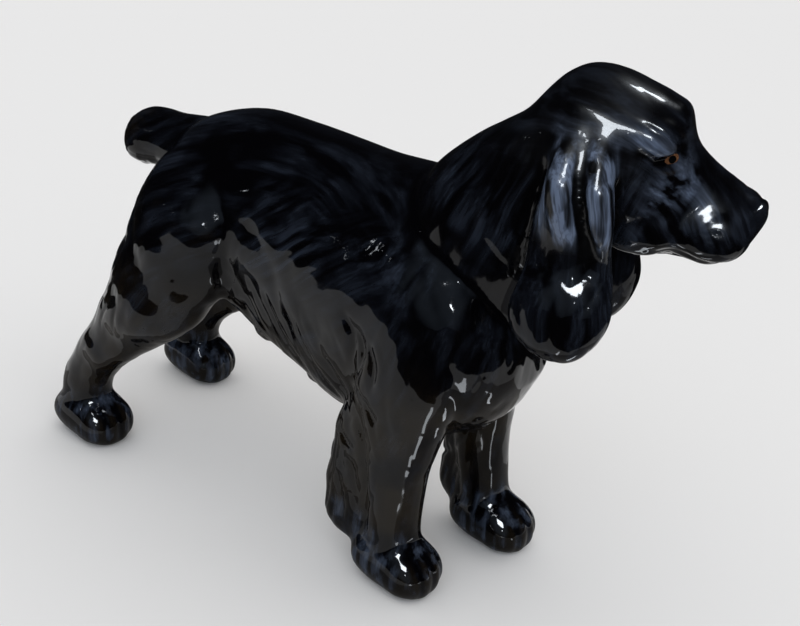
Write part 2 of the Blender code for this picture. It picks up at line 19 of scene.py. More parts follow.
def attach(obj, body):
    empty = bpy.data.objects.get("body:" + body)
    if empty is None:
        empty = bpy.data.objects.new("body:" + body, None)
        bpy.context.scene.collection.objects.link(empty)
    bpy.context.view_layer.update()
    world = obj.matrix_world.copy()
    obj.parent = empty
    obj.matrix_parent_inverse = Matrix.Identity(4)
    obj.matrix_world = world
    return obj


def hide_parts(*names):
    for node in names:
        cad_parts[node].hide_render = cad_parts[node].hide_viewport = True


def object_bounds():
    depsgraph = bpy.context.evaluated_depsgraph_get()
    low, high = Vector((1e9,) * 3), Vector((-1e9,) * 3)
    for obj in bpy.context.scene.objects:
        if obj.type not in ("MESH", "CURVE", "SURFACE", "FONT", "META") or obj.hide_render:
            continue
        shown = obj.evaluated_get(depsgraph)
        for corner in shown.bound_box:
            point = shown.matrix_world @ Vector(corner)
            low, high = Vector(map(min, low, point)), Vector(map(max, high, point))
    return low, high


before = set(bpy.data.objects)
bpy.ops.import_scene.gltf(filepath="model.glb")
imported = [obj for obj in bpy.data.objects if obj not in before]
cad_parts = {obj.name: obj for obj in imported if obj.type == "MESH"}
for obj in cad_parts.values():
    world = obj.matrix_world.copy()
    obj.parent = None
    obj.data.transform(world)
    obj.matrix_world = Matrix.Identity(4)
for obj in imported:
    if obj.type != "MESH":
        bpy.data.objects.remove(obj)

bl_info = {
    "name": "Glazed Spaniel Figurine",
    "version": (1, 0, 0),
    "blender": (4, 5, 0),
    "location": "View3D > Sidebar > Figurine",
    "description": "Sculpts, glazes and lights a standing porcelain spaniel",
    "category": "Add Mesh",
}

CAD_LOW, CAD_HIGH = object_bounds()

# Torso, neck and tail.
BACK_HEIGHT = 94.0
CHEST_DEPTH = 63.0
TORSO_LENGTH = 104.0
TORSO_WIDTH = 43.0
NECK_DEPTH = 34.0
NECK_WIDTH = 32.0
NECK_SINK = 24.0
NECK_TOP_DROP = 7.0
TAIL_LENGTH = 28.3
TAIL_WIDTH = 16.0
TAIL_DEPTH = 17.6
TAIL_SINK = 9.0
TAIL_DROP = 6.0
RUMP_OVERHANG = 8.0
APRON_TILT = 24.0
FRINGE_TILT = -18.0

# Head and ears.
HEAD_RISE = 31.0
HEAD_LENGTH = 49.5
HEAD_WIDTH = 29.0
HEAD_DEPTH = 35.4
HEAD_TURN = 17.0
HEAD_PIVOT_LEAD = 5.0
NAPE_SETBACK = 9.0
NOSE_WIDTH = 11.0
EAR_LENGTH = {"right": 49.8, "left": 56.0}
EAR_LEAD = {"right": 0.0, "left": 0.8}
EAR_WIDTH = 22.0
EAR_THICKNESS = 8.0
EAR_SPREAD = 18.5
EAR_DROP = 6.0
BROW_TILT = 12.0
LIP_TILT = -8.0
NOSE_TILT = -18.0

# Legs and paws.
FORELEG_DEPTH = 13.0
FORELEG_WIDTH = 12.6
FORE_STANCE = 32.2
SHOULDER_SETBACK = {"right": 21.5, "left": 24.0}
FORE_STRIDE = {"right": 4.2, "left": 13.0}
FEATHER_LENGTH = {"right": 22.6, "left": 17.5}
FEATHER_WIDTH = 9.6
THIGH_DEPTH = 32.0
THIGH_WIDTH = 21.6
HIND_STANCE = {"right": 43.2, "left": 48.6}
HIP_SETIN = 18.0
HIND_STRIDE = {"right": 27.9, "left": 33.4}
PAW_LENGTH = 22.0
PAW_WIDTH = 15.6
PAW_HEIGHT = 13.2
TOE_DIAMETER = 6.6
TOE_TILT = 12.0
ELBOW_SHARE = 0.64
HIP_SHARE = 0.83

# Where the castings part.
FORELEG_SEAM_DROP = 1.6
HINDLEG_SEAM_DROP = 3.0
TAIL_SEAM_SETBACK = 1.5
NECK_SEAM_TILT = 22.0
SAW_OVERRUN = 1.0

# How the bodies are rounded.
SPOKES = 72
RINGS = 64
BODY_SQUARE = 2.2
BLOCK_SQUARE = 4.0

# The camera, in the sculpture's place.
CAMERA_PLACE = (154.5, -227.6, 179.7)
CAMERA_YAW = 2.142
CAMERA_PITCH = -0.4256
CAMERA_ROLL = 0.1348
PHOTO_WIDTH = 800
FOCAL_PIXELS = 1278.4
SENSOR_WIDTH = 36.0

# The soft glow on the camera's side, in degrees.
GLOW_AZIMUTH = -68.0
GLOW_HEIGHT = 30.0
GLOW_REACH = 42.0

EYE_SINK = 0.62

SIDES = {"right": -1.0, "left": 1.0}
RUMP_X = -TORSO_LENGTH / 2 - RUMP_OVERHANG
CHEST_X = RUMP_X + TORSO_LENGTH
NAPE_X = CHEST_X - NAPE_SETBACK
CROWN_HEIGHT = BACK_HEIGHT + HEAD_RISE
BRISKET_HEIGHT = BACK_HEIGHT - CHEST_DEPTH
LOIN_HEIGHT = BRISKET_HEIGHT + 0.16 * CHEST_DEPTH
HEAD_PIVOT = Vector((NAPE_X + HEAD_PIVOT_LEAD, 0.0, CROWN_HEIGHT - HEAD_DEPTH))


class CoatSizes(bpy.types.PropertyGroup):
    body_grain: FloatProperty(
        name="Body Grain", description="Spacing of the sculpted surface on torso, legs and tail",
        default=0.0006, min=0.0004, max=0.003, subtype="DISTANCE", unit="LENGTH")
    head_grain: FloatProperty(
        name="Head Grain", description="Spacing of the sculpted surface on head and ears",
        default=0.0004, min=0.0003, max=0.003, subtype="DISTANCE", unit="LENGTH")
    softness: FloatProperty(
        name="Softness", description="How far the joins between forms are smoothed into each other",
        default=0.0022, min=0.0, max=0.006, subtype="DISTANCE", unit="LENGTH")
    lock_depth: FloatProperty(
        name="Lock Depth", description="Depth of the furrows between locks of hair",
        default=0.0005, min=0.0, max=0.002, subtype="DISTANCE", unit="LENGTH")
    eye_diameter: FloatProperty(
        name="Eye Diameter", description="Diameter of each eyeball",
        default=0.0052, min=0.002, max=0.01, subtype="DISTANCE", unit="LENGTH")


class GlazeColours(bpy.types.PropertyGroup):
    black: FloatVectorProperty(
        name="Black Glaze", description="Colour where the glaze lies thick",
        default=(0.0008, 0.0007, 0.0011), size=3, min=0.0, max=1.0, subtype="COLOR")
    # The hair colour also paints soft bluish highlights on the paws.
    hair: FloatVectorProperty(
        name="Hair Strokes", description="Colour of the brushed hairs",
        default=(0.105, 0.135, 0.20), size=3, min=0.0, max=1.0, subtype="COLOR")
    # Thin colour: the brown of glaze thinning over crests, and also a painted reflection of the warm table, mottled
    # over the lower body.
    thin: FloatVectorProperty(
        name="Thin Glaze and Painted Reflection", description="Brown where the glaze thins on crests, and painted reflection of the table over the lower body",
        default=(0.0095, 0.0070, 0.0040), size=3, min=0.0, max=1.0, subtype="COLOR")
    iris: FloatVectorProperty(
        name="Iris", description="Colour of the painted iris",
        default=(0.14, 0.062, 0.028), size=3, min=0.0, max=1.0, subtype="COLOR")
    clay: FloatVectorProperty(
        name="Bare Clay", description="Colour of the unglazed soles",
        default=(0.72, 0.69, 0.63), size=3, min=0.0, max=1.0, subtype="COLOR")


class StudioSettings(bpy.types.PropertyGroup):
    floor: FloatVectorProperty(
        name="Floor", description="Colour of the table and the backdrop",
        default=(0.80, 0.79, 0.78), size=3, min=0.0, max=1.0, subtype="COLOR")
    daylight: FloatProperty(
        name="Daylight", description="Strength of the wide soft light overhead", default=3.05, min=0.0)
    glow: FloatProperty(
        name="Window Glow", description="Brightness of the soft bluish light on the camera's side", default=0.50,
        min=0.0)
    spark: FloatProperty(
        name="Sparks", description="Brightness of the small lamps that the glaze mirrors", default=60.0, min=0.0)


def sizes():
    return bpy.context.scene.coat_sizes


def colours():
    return bpy.context.scene.glaze_colours


def millimetres(length):
    return length * 1000.0


def row_at(rows, share):
    """One row read from a smooth curve through the rows, at a share of the way along them."""
    place = max(0.0, min(1.0, share)) * (len(rows) - 1)
    first = min(int(place), len(rows) - 2)
    t = place - first
    before = rows[max(first - 1, 0)]
    start, end = rows[first], rows[first + 1]
    after = rows[min(first + 2, len(rows) - 1)]
    row = []
    for a, b, c, d in zip(before, start, end, after):
        bend = (2 * a - 5 * b + 4 * c - d) * t * t + (3 * b - a - 3 * c + d) * t ** 3
        row.append(0.5 * (2 * b + (c - a) * t + bend))
    return row


def eased(rows, count):
    return [row_at(rows, step / (count - 1)) for step in range(count)]


def slice_point(row, along, turn, square=BODY_SQUARE):
    """The point at an angle, in radians, round one slice: station, low, high, side, half width."""
    station, low, high, side, half = row
    cosine, sine = math.cos(turn), math.sin(turn)
    across = math.copysign(abs(cosine) ** (2 / square), cosine) * half
    upright = math.copysign(abs(sine) ** (2 / square), sine) * (high - low) / 2
    middle = (low + high) / 2 + upright
    if along == "x":
        return Vector((station, side + across, middle))
    return Vector((middle, side + across, station))


def turned_body(rows, along, square=BODY_SQUARE, spokes=SPOKES, rings=RINGS):
    """A sphere whose rings take the shape of the rows, upright along "x" and flat along "z"."""
    body = bmesh.new()
    bmesh.ops.create_uvsphere(body, u_segments=spokes, v_segments=rings + 1, radius=1.0)
    sections = eased(rows, rings)
    for vert in body.verts:
        polar = math.acos(max(-1.0, min(1.0, vert.co.z))) / math.pi
        ring = round(polar * (rings + 1)) - 1
        at_pole = ring < 0 or ring >= rings
        section = sections[max(0, min(rings - 1, ring))]
        if at_pole:
            station, low, high, side, half = section
            section = (station, (low + high) / 2, (low + high) / 2, side, 0.0)
        vert.co = slice_point(section, along, math.atan2(vert.co.y, vert.co.x), square)
    mirrored = (along == "x") == (rows[-1][0] > rows[0][0])
    if mirrored:
        bmesh.ops.reverse_faces(body, faces=body.faces[:])
    return body


class Clay:
    """Overlapping bodies pressed into one lump, before it is worked into a skin."""

    def __init__(self):
        self.lump = bmesh.new()

    def press(self, body, on_head=False):
        if on_head:
            turn = Matrix.Rotation(math.radians(HEAD_TURN), 3, "Z")
            bmesh.ops.rotate(body, cent=HEAD_PIVOT, matrix=turn, verts=body.verts)
        mesh = mesh_of("body", body)
        self.lump.from_mesh(mesh)
        bpy.data.meshes.remove(mesh)

    def body(self, rows, along, on_head=False):
        self.press(turned_body(rows, along), on_head)

    def lobe(self, centre, radii, tilt=0.0, on_head=False):
        """An ellipsoid, for a muscle, a toe or a tuft. tilt leans its top forwards, in degrees."""
        place = Matrix.Translation(centre) @ Matrix.Rotation(math.radians(tilt), 4, "Y")
        lobe = bmesh.new()
        bmesh.ops.create_uvsphere(lobe, u_segments=32, v_segments=20, radius=1.0,
                                  matrix=place @ Matrix.Diagonal((*radii, 1.0)))
        self.press(lobe, on_head)

    def mesh(self, name):
        return mesh_of(name, self.lump)


def turned(point):
    """A point of the straight head, where it lies on the turned one."""
    turn = Matrix.Rotation(math.radians(HEAD_TURN), 3, "Z")
    return HEAD_PIVOT + turn @ (Vector(point) - HEAD_PIVOT)


def torso_rows():
    table = [
        (0.00, 0.22, 0.67, 0.22),
        (0.04, 0.12, 0.52, 0.56),
        (0.10, 0.06, 0.40, 0.82),
        (0.19, 0.014, 0.25, 0.93),
        (0.30, 0.003, 0.16, 0.90),
        (0.43, 0.006, 0.10, 0.94),
        (0.56, 0.013, 0.018, 1.00),
        (0.68, 0.002, 0.00, 1.02),
        (0.79, 0.016, 0.016, 1.00),
        (0.89, 0.127, 0.095, 0.90),
        (0.96, 0.333, 0.20, 0.68),
        (1.00, 0.508, 0.35, 0.34),
    ]
    rows = []
    for share, drop, rise, width in table:
        low = BRISKET_HEIGHT + rise * CHEST_DEPTH
        high = BACK_HEIGHT - drop * CHEST_DEPTH
        rows.append((RUMP_X + share * TORSO_LENGTH, low, high, 0.0, width * TORSO_WIDTH / 2))
    return rows


def neck_rows():
    base = BACK_HEIGHT - NECK_SINK
    top = CROWN_HEIGHT - NECK_TOP_DROP
    table = [
        (0.00, -0.87, 0.24, 0.92),
        (0.22, -0.81, 0.32, 1.02),
        (0.43, -0.69, 0.40, 1.03),
        (0.60, -0.545, 0.47, 0.96),
        (0.78, -0.275, 0.50, 0.86),
        (0.92, -0.01, 0.50, 0.74),
        (1.00, 0.04, 0.44, 0.50),
    ]
    return [(base + share * (top - base), NAPE_X + back * NECK_DEPTH, NAPE_X + front * NECK_DEPTH, 0.0,
             width * NECK_WIDTH / 2) for share, back, front, width in table]


def head_rows():
    """Crown, forehead, stop, bridge and nose along the top; throat, jaw and lips along the bottom."""
    table = [
        (0.00, 0.28, 0.54, 0.25),
        (0.07, 0.118, 0.71, 0.66),
        (0.18, 0.003, 0.82, 0.90),
        (0.31, -0.006, 0.89, 0.98),
        (0.44, 0.042, 0.96, 0.96),
        (0.55, 0.096, 1.00, 0.86),
        (0.61, 0.141, 1.00, 0.76),
        (0.655, 0.30, 0.99, 0.66),
        (0.72, 0.39, 0.995, 0.57),
        (0.81, 0.463, 0.99, 0.55),
        (0.91, 0.531, 0.91, 0.50),
        (0.97, 0.565, 0.77, 0.42),
        (1.00, 0.60, 0.68, 0.24),
    ]
    rows = []
    for share, drop, deep, width in table:
        low = CROWN_HEIGHT - deep * HEAD_DEPTH
        high = CROWN_HEIGHT - drop * HEAD_DEPTH
        rows.append((NAPE_X + share * HEAD_LENGTH, low, high, 0.0, width * HEAD_WIDTH / 2))
    return rows


def ear_slices(side, table):
    """Flat slices down one ear, from shares of its length, width, spread and thickness."""
    root = CROWN_HEIGHT - EAR_DROP
    rows = []
    for share, back, front, out, thick in table:
        rear = NAPE_X + back * EAR_WIDTH + share * EAR_LEAD[side]
        fore = NAPE_X + front * EAR_WIDTH + share * EAR_LEAD[side]
        rows.append((root - share * EAR_LENGTH[side], rear, fore, SIDES[side] * out * EAR_SPREAD,
                     thick * EAR_THICKNESS / 2))
    return rows


def ear_tables():
    """The flap, its two long folds of hair, the round lobe at its end and the web to the neck."""
    flap = [
        (0.00, 0.36, 0.82, 0.52, 0.45),
        (0.14, 0.33, 0.88, 0.76, 0.95),
        (0.32, 0.31, 0.93, 0.85, 0.95),
        (0.48, 0.31, 1.00, 0.88, 0.90),
        (0.62, 0.28, 1.10, 0.92, 0.95),
        (0.76, 0.24, 1.15, 0.96, 0.95),
        (0.90, 0.30, 1.08, 1.00, 0.80),
        (0.98, 0.52, 0.88, 1.02, 0.40),
    ]
    front_fold = [
        (0.02, 0.60, 0.86, 0.56, 0.40),
        (0.14, 0.62, 0.90, 0.86, 0.75),
        (0.26, 0.66, 0.95, 1.02, 0.85),
        (0.38, 0.73, 1.01, 1.05, 0.80),
        (0.48, 0.84, 1.04, 1.06, 0.60),
        (0.55, 0.95, 1.05, 1.04, 0.30),
    ]
    rear_fold = [
        (0.02, 0.36, 0.60, 0.56, 0.40),
        (0.16, 0.33, 0.60, 0.88, 0.80),
        (0.28, 0.35, 0.66, 1.02, 0.95),
        (0.40, 0.40, 0.74, 1.03, 0.85),
        (0.52, 0.52, 0.80, 1.02, 0.60),
        (0.60, 0.62, 0.78, 1.00, 0.30),
    ]
    lobe = [
        (0.60, 0.44, 1.02, 0.96, 0.50),
        (0.68, 0.28, 1.12, 1.02, 0.95),
        (0.78, 0.20, 1.17, 1.05, 1.25),
        (0.88, 0.22, 1.10, 1.06, 1.20),
        (0.95, 0.34, 1.00, 1.06, 0.90),
        (1.01, 0.55, 0.86, 1.05, 0.40),
    ]
    web = [
        (0.10, 0.30, 0.60, 0.50, 1.20),
        (0.40, 0.24, 0.70, 0.62, 1.40),
        (0.75, 0.26, 0.82, 0.74, 1.30),
        (0.92, 0.40, 0.70, 0.80, 0.80),
    ]
    return flap, front_fold, rear_fold, lobe, web


def ear_block(side):
    """The space that an ear casting fills, its inner face lying in the wall of the head."""
    table = [
        (-0.02, 0.44, 0.74, 0.86, 0.70),
        (0.08, 0.26, 0.98, 0.94, 1.20),
        (0.30, 0.20, 1.08, 1.00, 1.45),
        (0.50, 0.18, 1.18, 1.03, 1.50),
        (0.70, 0.08, 1.28, 1.06, 1.65),
        (0.86, 0.08, 1.26, 1.08, 1.65),
        (0.98, 0.22, 1.10, 1.08, 1.40),
        (1.07, 0.46, 0.92, 1.06, 0.80),
    ]
    clay = Clay()
    clay.press(turned_body(ear_slices(side, table), "z", BLOCK_SQUARE, 32, 24), on_head=True)
    return clay.mesh("ear_block")


def shoulder_x(side):
    return CHEST_X - SHOULDER_SETBACK[side]


def forepaw_x(side):
    return shoulder_x(side) + FORE_STRIDE[side]


def hip_x():
    return RUMP_X + HIP_SETIN


def hindpaw_x(side):
    return hip_x() - HIND_STRIDE[side]


def foreleg_rows(side):
    table = [
        (0.86, -0.60, 0.50, -0.22, 0.30),
        (0.76, -1.00, 0.80, -0.14, 0.60),
        (0.66, -1.12, 0.98, -0.09, 0.73),
        (0.56, -1.12, 1.02, -0.05, 0.77),
        (0.47, -0.96, 0.87, -0.02, 0.71),
        (0.37, -0.73, 0.62, 0.0, 0.60),
        (0.29, -0.62, 0.45, 0.0, 0.54),
        (0.19, -0.54, 0.39, 0.0, 0.50),
        (0.117, -0.50, 0.39, 0.0, 0.49),
        (0.064, -0.42, 0.38, 0.0, 0.44),
    ]
    rows = []
    for share, back, front, out, half in table:
        line = forepaw_x(side) - FORE_STRIDE[side] * share / ELBOW_SHARE
        rows.append((share * BACK_HEIGHT, line + back * FORELEG_DEPTH, line + front * FORELEG_DEPTH,
                     SIDES[side] * (0.5 + out) * FORE_STANCE, half * FORELEG_WIDTH))
    return rows


def feather_rows(side):
    """The fringe of long hair that hangs behind a foreleg, elbow to pastern."""
    table = [
        (0.49, 0.76, 0.42),
        (0.40, 0.89, 0.50),
        (0.32, 0.94, 0.46),
        (0.22, 0.96, 0.42),
        (0.15, 0.97, 0.38),
        (0.096, 0.96, 0.33),
        (0.060, 0.80, 0.25),
    ]
    foot = forepaw_x(side)
    return [(share * BACK_HEIGHT, foot - reach * FEATHER_LENGTH[side], foot, SIDES[side] * FORE_STANCE / 2,
             half * FEATHER_WIDTH) for share, reach, half in table]


def hindleg_rows(side):
    """Thigh, stifle, gaskin and hock down to the pastern."""
    table = [
        (0.936, -0.28, 0.28, -0.32, 0.19),
        (0.84, -0.48, 0.42, -0.24, 0.37),
        (0.713, -0.44, 0.53, -0.15, 0.51),
        (0.574, -0.39, 0.61, -0.08, 0.50),
        (0.490, -0.345, 0.60, -0.04, 0.46),
        (0.425, -0.34, 0.53, -0.02, 0.40),
        (0.360, -0.36, 0.33, -0.01, 0.325),
        (0.277, -0.42, 0.122, 0.0, 0.287),
        (0.191, -0.456, -0.025, 0.0, 0.273),
        (0.106, -0.39, 0.016, 0.0, 0.269),
        (0.064, -0.344, 0.063, 0.0, 0.255),
    ]
    rows = []
    for share, back, front, out, half in table:
        line = hindpaw_x(side) + HIND_STRIDE[side] * share / HIP_SHARE
        rows.append((share * BACK_HEIGHT, line + back * THIGH_DEPTH, line + front * THIGH_DEPTH,
                     SIDES[side] * (HIND_STANCE[side] / 2 + out * TORSO_WIDTH), half * THIGH_WIDTH))
    return rows


def paw_rows(paw_x, side_y):
    table = [
        (-0.50, 0.30, 0.58, 0.45),
        (-0.40, 0.07, 0.78, 0.78),
        (-0.15, -0.07, 0.94, 0.95),
        (0.15, -0.08, 0.92, 1.00),
        (0.36, -0.06, 0.76, 0.90),
        (0.47, 0.04, 0.57, 0.62),
        (0.50, 0.15, 0.42, 0.32),
    ]
    return [(paw_x + share * PAW_LENGTH, low * PAW_HEIGHT, high * PAW_HEIGHT, side_y, width * PAW_WIDTH / 2)
            for share, low, high, width in table]


def paws():
    """The middle of each paw on the ground, with its side."""
    made = []
    for side, turn in SIDES.items():
        made.append((forepaw_x(side), turn * FORE_STANCE / 2))
        made.append((hindpaw_x(side), turn * HIND_STANCE[side] / 2))
    return made


def tail_rows():
    """A docked tail, carried level, with a bulb of hair at its end."""
    root_x = RUMP_X + TAIL_SINK
    top = BACK_HEIGHT - TAIL_DROP
    table = [
        (0.00, 0.0, -1.20, 0.85),
        (0.30, -0.085, -1.02, 0.90),
        (0.55, -0.148, -0.94, 0.88),
        (0.80, -0.17, -1.00, 1.00),
        (0.93, -0.273, -0.955, 0.85),
        (1.00, -0.483, -0.795, 0.40),
    ]
    return [(root_x - share * TAIL_LENGTH, top + low * TAIL_DEPTH, top + high * TAIL_DEPTH, 0.0,
             width * TAIL_WIDTH / 2) for share, high, low, width in table]


def eye_centre(turn):
    """Middle of an eyeball on the straight head."""
    return Vector((NAPE_X + 0.575 * HEAD_LENGTH, turn * 0.30 * HEAD_WIDTH, CROWN_HEIGHT - 0.375 * HEAD_DEPTH))


def add_face(clay):
    """Brows, cheekbones, cheeks, jowls, hanging lips and the nose pad, on the head before it is turned."""
    nose_x = NAPE_X + HEAD_LENGTH - 0.36 * NOSE_WIDTH
    nose_z = CROWN_HEIGHT - 0.635 * HEAD_DEPTH
    clay.lobe((nose_x, 0.0, nose_z), (0.38 * NOSE_WIDTH, 0.5 * NOSE_WIDTH, 0.30 * NOSE_WIDTH), NOSE_TILT, on_head=True)
    radius = 3.2
    for turn in SIDES.values():
        eye = eye_centre(turn)
        brow = (eye.x - 0.6 * radius, 0.86 * eye.y, eye.z + 1.5 * radius)
        clay.lobe(brow, (1.5 * radius, 0.95 * radius, 0.7 * radius), BROW_TILT, on_head=True)
        for lead, drop in ((0.30, 0.21), (0.45, 0.265)):
            ridge = (NAPE_X + lead * HEAD_LENGTH, turn * 0.41 * HEAD_WIDTH, CROWN_HEIGHT - drop * HEAD_DEPTH)
            clay.lobe(ridge, (0.17 * HEAD_LENGTH, 0.10 * HEAD_WIDTH, 0.075 * HEAD_DEPTH), BROW_TILT, on_head=True)
        cheek = (eye.x - 1.6 * radius, 0.98 * eye.y, eye.z - 3.0 * radius)
        clay.lobe(cheek, (2.6 * radius, 1.25 * radius, 2.3 * radius), on_head=True)
        jowl = (eye.x - 1.0 * radius, 0.93 * eye.y, eye.z - 4.6 * radius)
        clay.lobe(jowl, (3.0 * radius, 1.2 * radius, 2.0 * radius), on_head=True)
        lip = (NAPE_X + 0.80 * HEAD_LENGTH, turn * 0.215 * HEAD_WIDTH, CROWN_HEIGHT - 0.79 * HEAD_DEPTH)
        clay.lobe(lip, (0.165 * HEAD_LENGTH, 0.165 * HEAD_WIDTH, 0.17 * HEAD_DEPTH), LIP_TILT, on_head=True)


def add_toes(clay, paw_x, side_y):
    """Four toes side by side along the front of a paw, the middle pair leading."""
    radius = TOE_DIAMETER / 2
    for place in (-1.5, -0.5, 0.5, 1.5):
        lead = 0.5 - 0.035 * place * place
        centre = (paw_x + lead * PAW_LENGTH - 1.5 * radius, side_y + place * 0.245 * PAW_WIDTH, 0.36 * PAW_HEIGHT)
        clay.lobe(centre, (1.5 * radius, 0.72 * radius, 1.35 * radius), TOE_TILT)


def add_apron(clay):
    """Tufts of the chest hair, longest in the middle, hanging between the forelegs."""
    for place in (-1.0, -0.5, 0.0, 0.5, 1.0):
        length = (0.30 - 0.08 * place * place) * CHEST_DEPTH
        centre = (CHEST_X - (0.055 + 0.09 * abs(place)) * TORSO_LENGTH, place * 0.30 * TORSO_WIDTH,
                  BRISKET_HEIGHT + 0.26 * CHEST_DEPTH)
        clay.lobe(centre, (0.11 * length, 0.20 * length, 0.62 * length), APRON_TILT)


def add_belly_fringe(clay):
    """Short tufts that follow the belly line back to the tuck-up."""
    for share, rise in ((0.36, 0.135), (0.44, 0.105), (0.52, 0.055), (0.60, 0.02)):
        for turn in SIDES.values():
            centre = (RUMP_X + share * TORSO_LENGTH, turn * 0.16 * TORSO_WIDTH,
                      BRISKET_HEIGHT + (rise + 0.07) * CHEST_DEPTH)
            clay.lobe(centre, (0.06 * TORSO_LENGTH, 0.09 * TORSO_WIDTH, 0.055 * CHEST_DEPTH), FRINGE_TILT)


def mesh_of(name, bm):
    mesh = bpy.data.meshes.new(name)
    bm.to_mesh(mesh)
    bm.free()
    return mesh


def press_head(clay):
    """Skull, face and both ears."""
    clay.body(head_rows(), "x", on_head=True)
    add_face(clay)
    for side in SIDES:
        for table in ear_tables():
            clay.body(ear_slices(side, table), "z", on_head=True)


def front_clay():
    """Head, ears, neck and the chest that they grow from."""
    clay = Clay()
    clay.body(torso_rows()[5:], "x")
    clay.body(neck_rows(), "z")
    press_head(clay)
    return clay.mesh("front_clay")


def whole_clay():
    """The whole dog as overlapping bodies."""
    clay = Clay()
    clay.body(torso_rows(), "x")
    clay.body(neck_rows(), "z")
    clay.body(tail_rows(), "x")
    press_head(clay)
    add_apron(clay)
    add_belly_fringe(clay)
    for side in SIDES:
        clay.body(foreleg_rows(side), "z")
        clay.body(feather_rows(side), "z")
        clay.body(hindleg_rows(side), "z")
    for paw_x, side_y in paws():
        clay.body(paw_rows(paw_x, side_y), "x")
        add_toes(clay, paw_x, side_y)
    return clay.mesh("whole_clay")


def evaluated_mesh(obj):
    graph = bpy.context.evaluated_depsgraph_get()
    return bpy.data.meshes.new_from_object(obj.evaluated_get(graph))


def fused(mesh, grain, softness):
    """The overlapping bodies of a mesh worked into one skin and smoothed as far as softness."""
    work = bpy.data.objects.new("work", mesh)
    bpy.context.scene.collection.objects.link(work)
    remesh = work.modifiers.new("fuse", "REMESH")
    remesh.mode = "VOXEL"
    remesh.voxel_size = grain
    smooth = work.modifiers.new("soften", "SMOOTH")
    smooth.iterations = round((softness / grain) ** 2)
    skin = evaluated_mesh(work)
    bpy.data.objects.remove(work)
    return skin


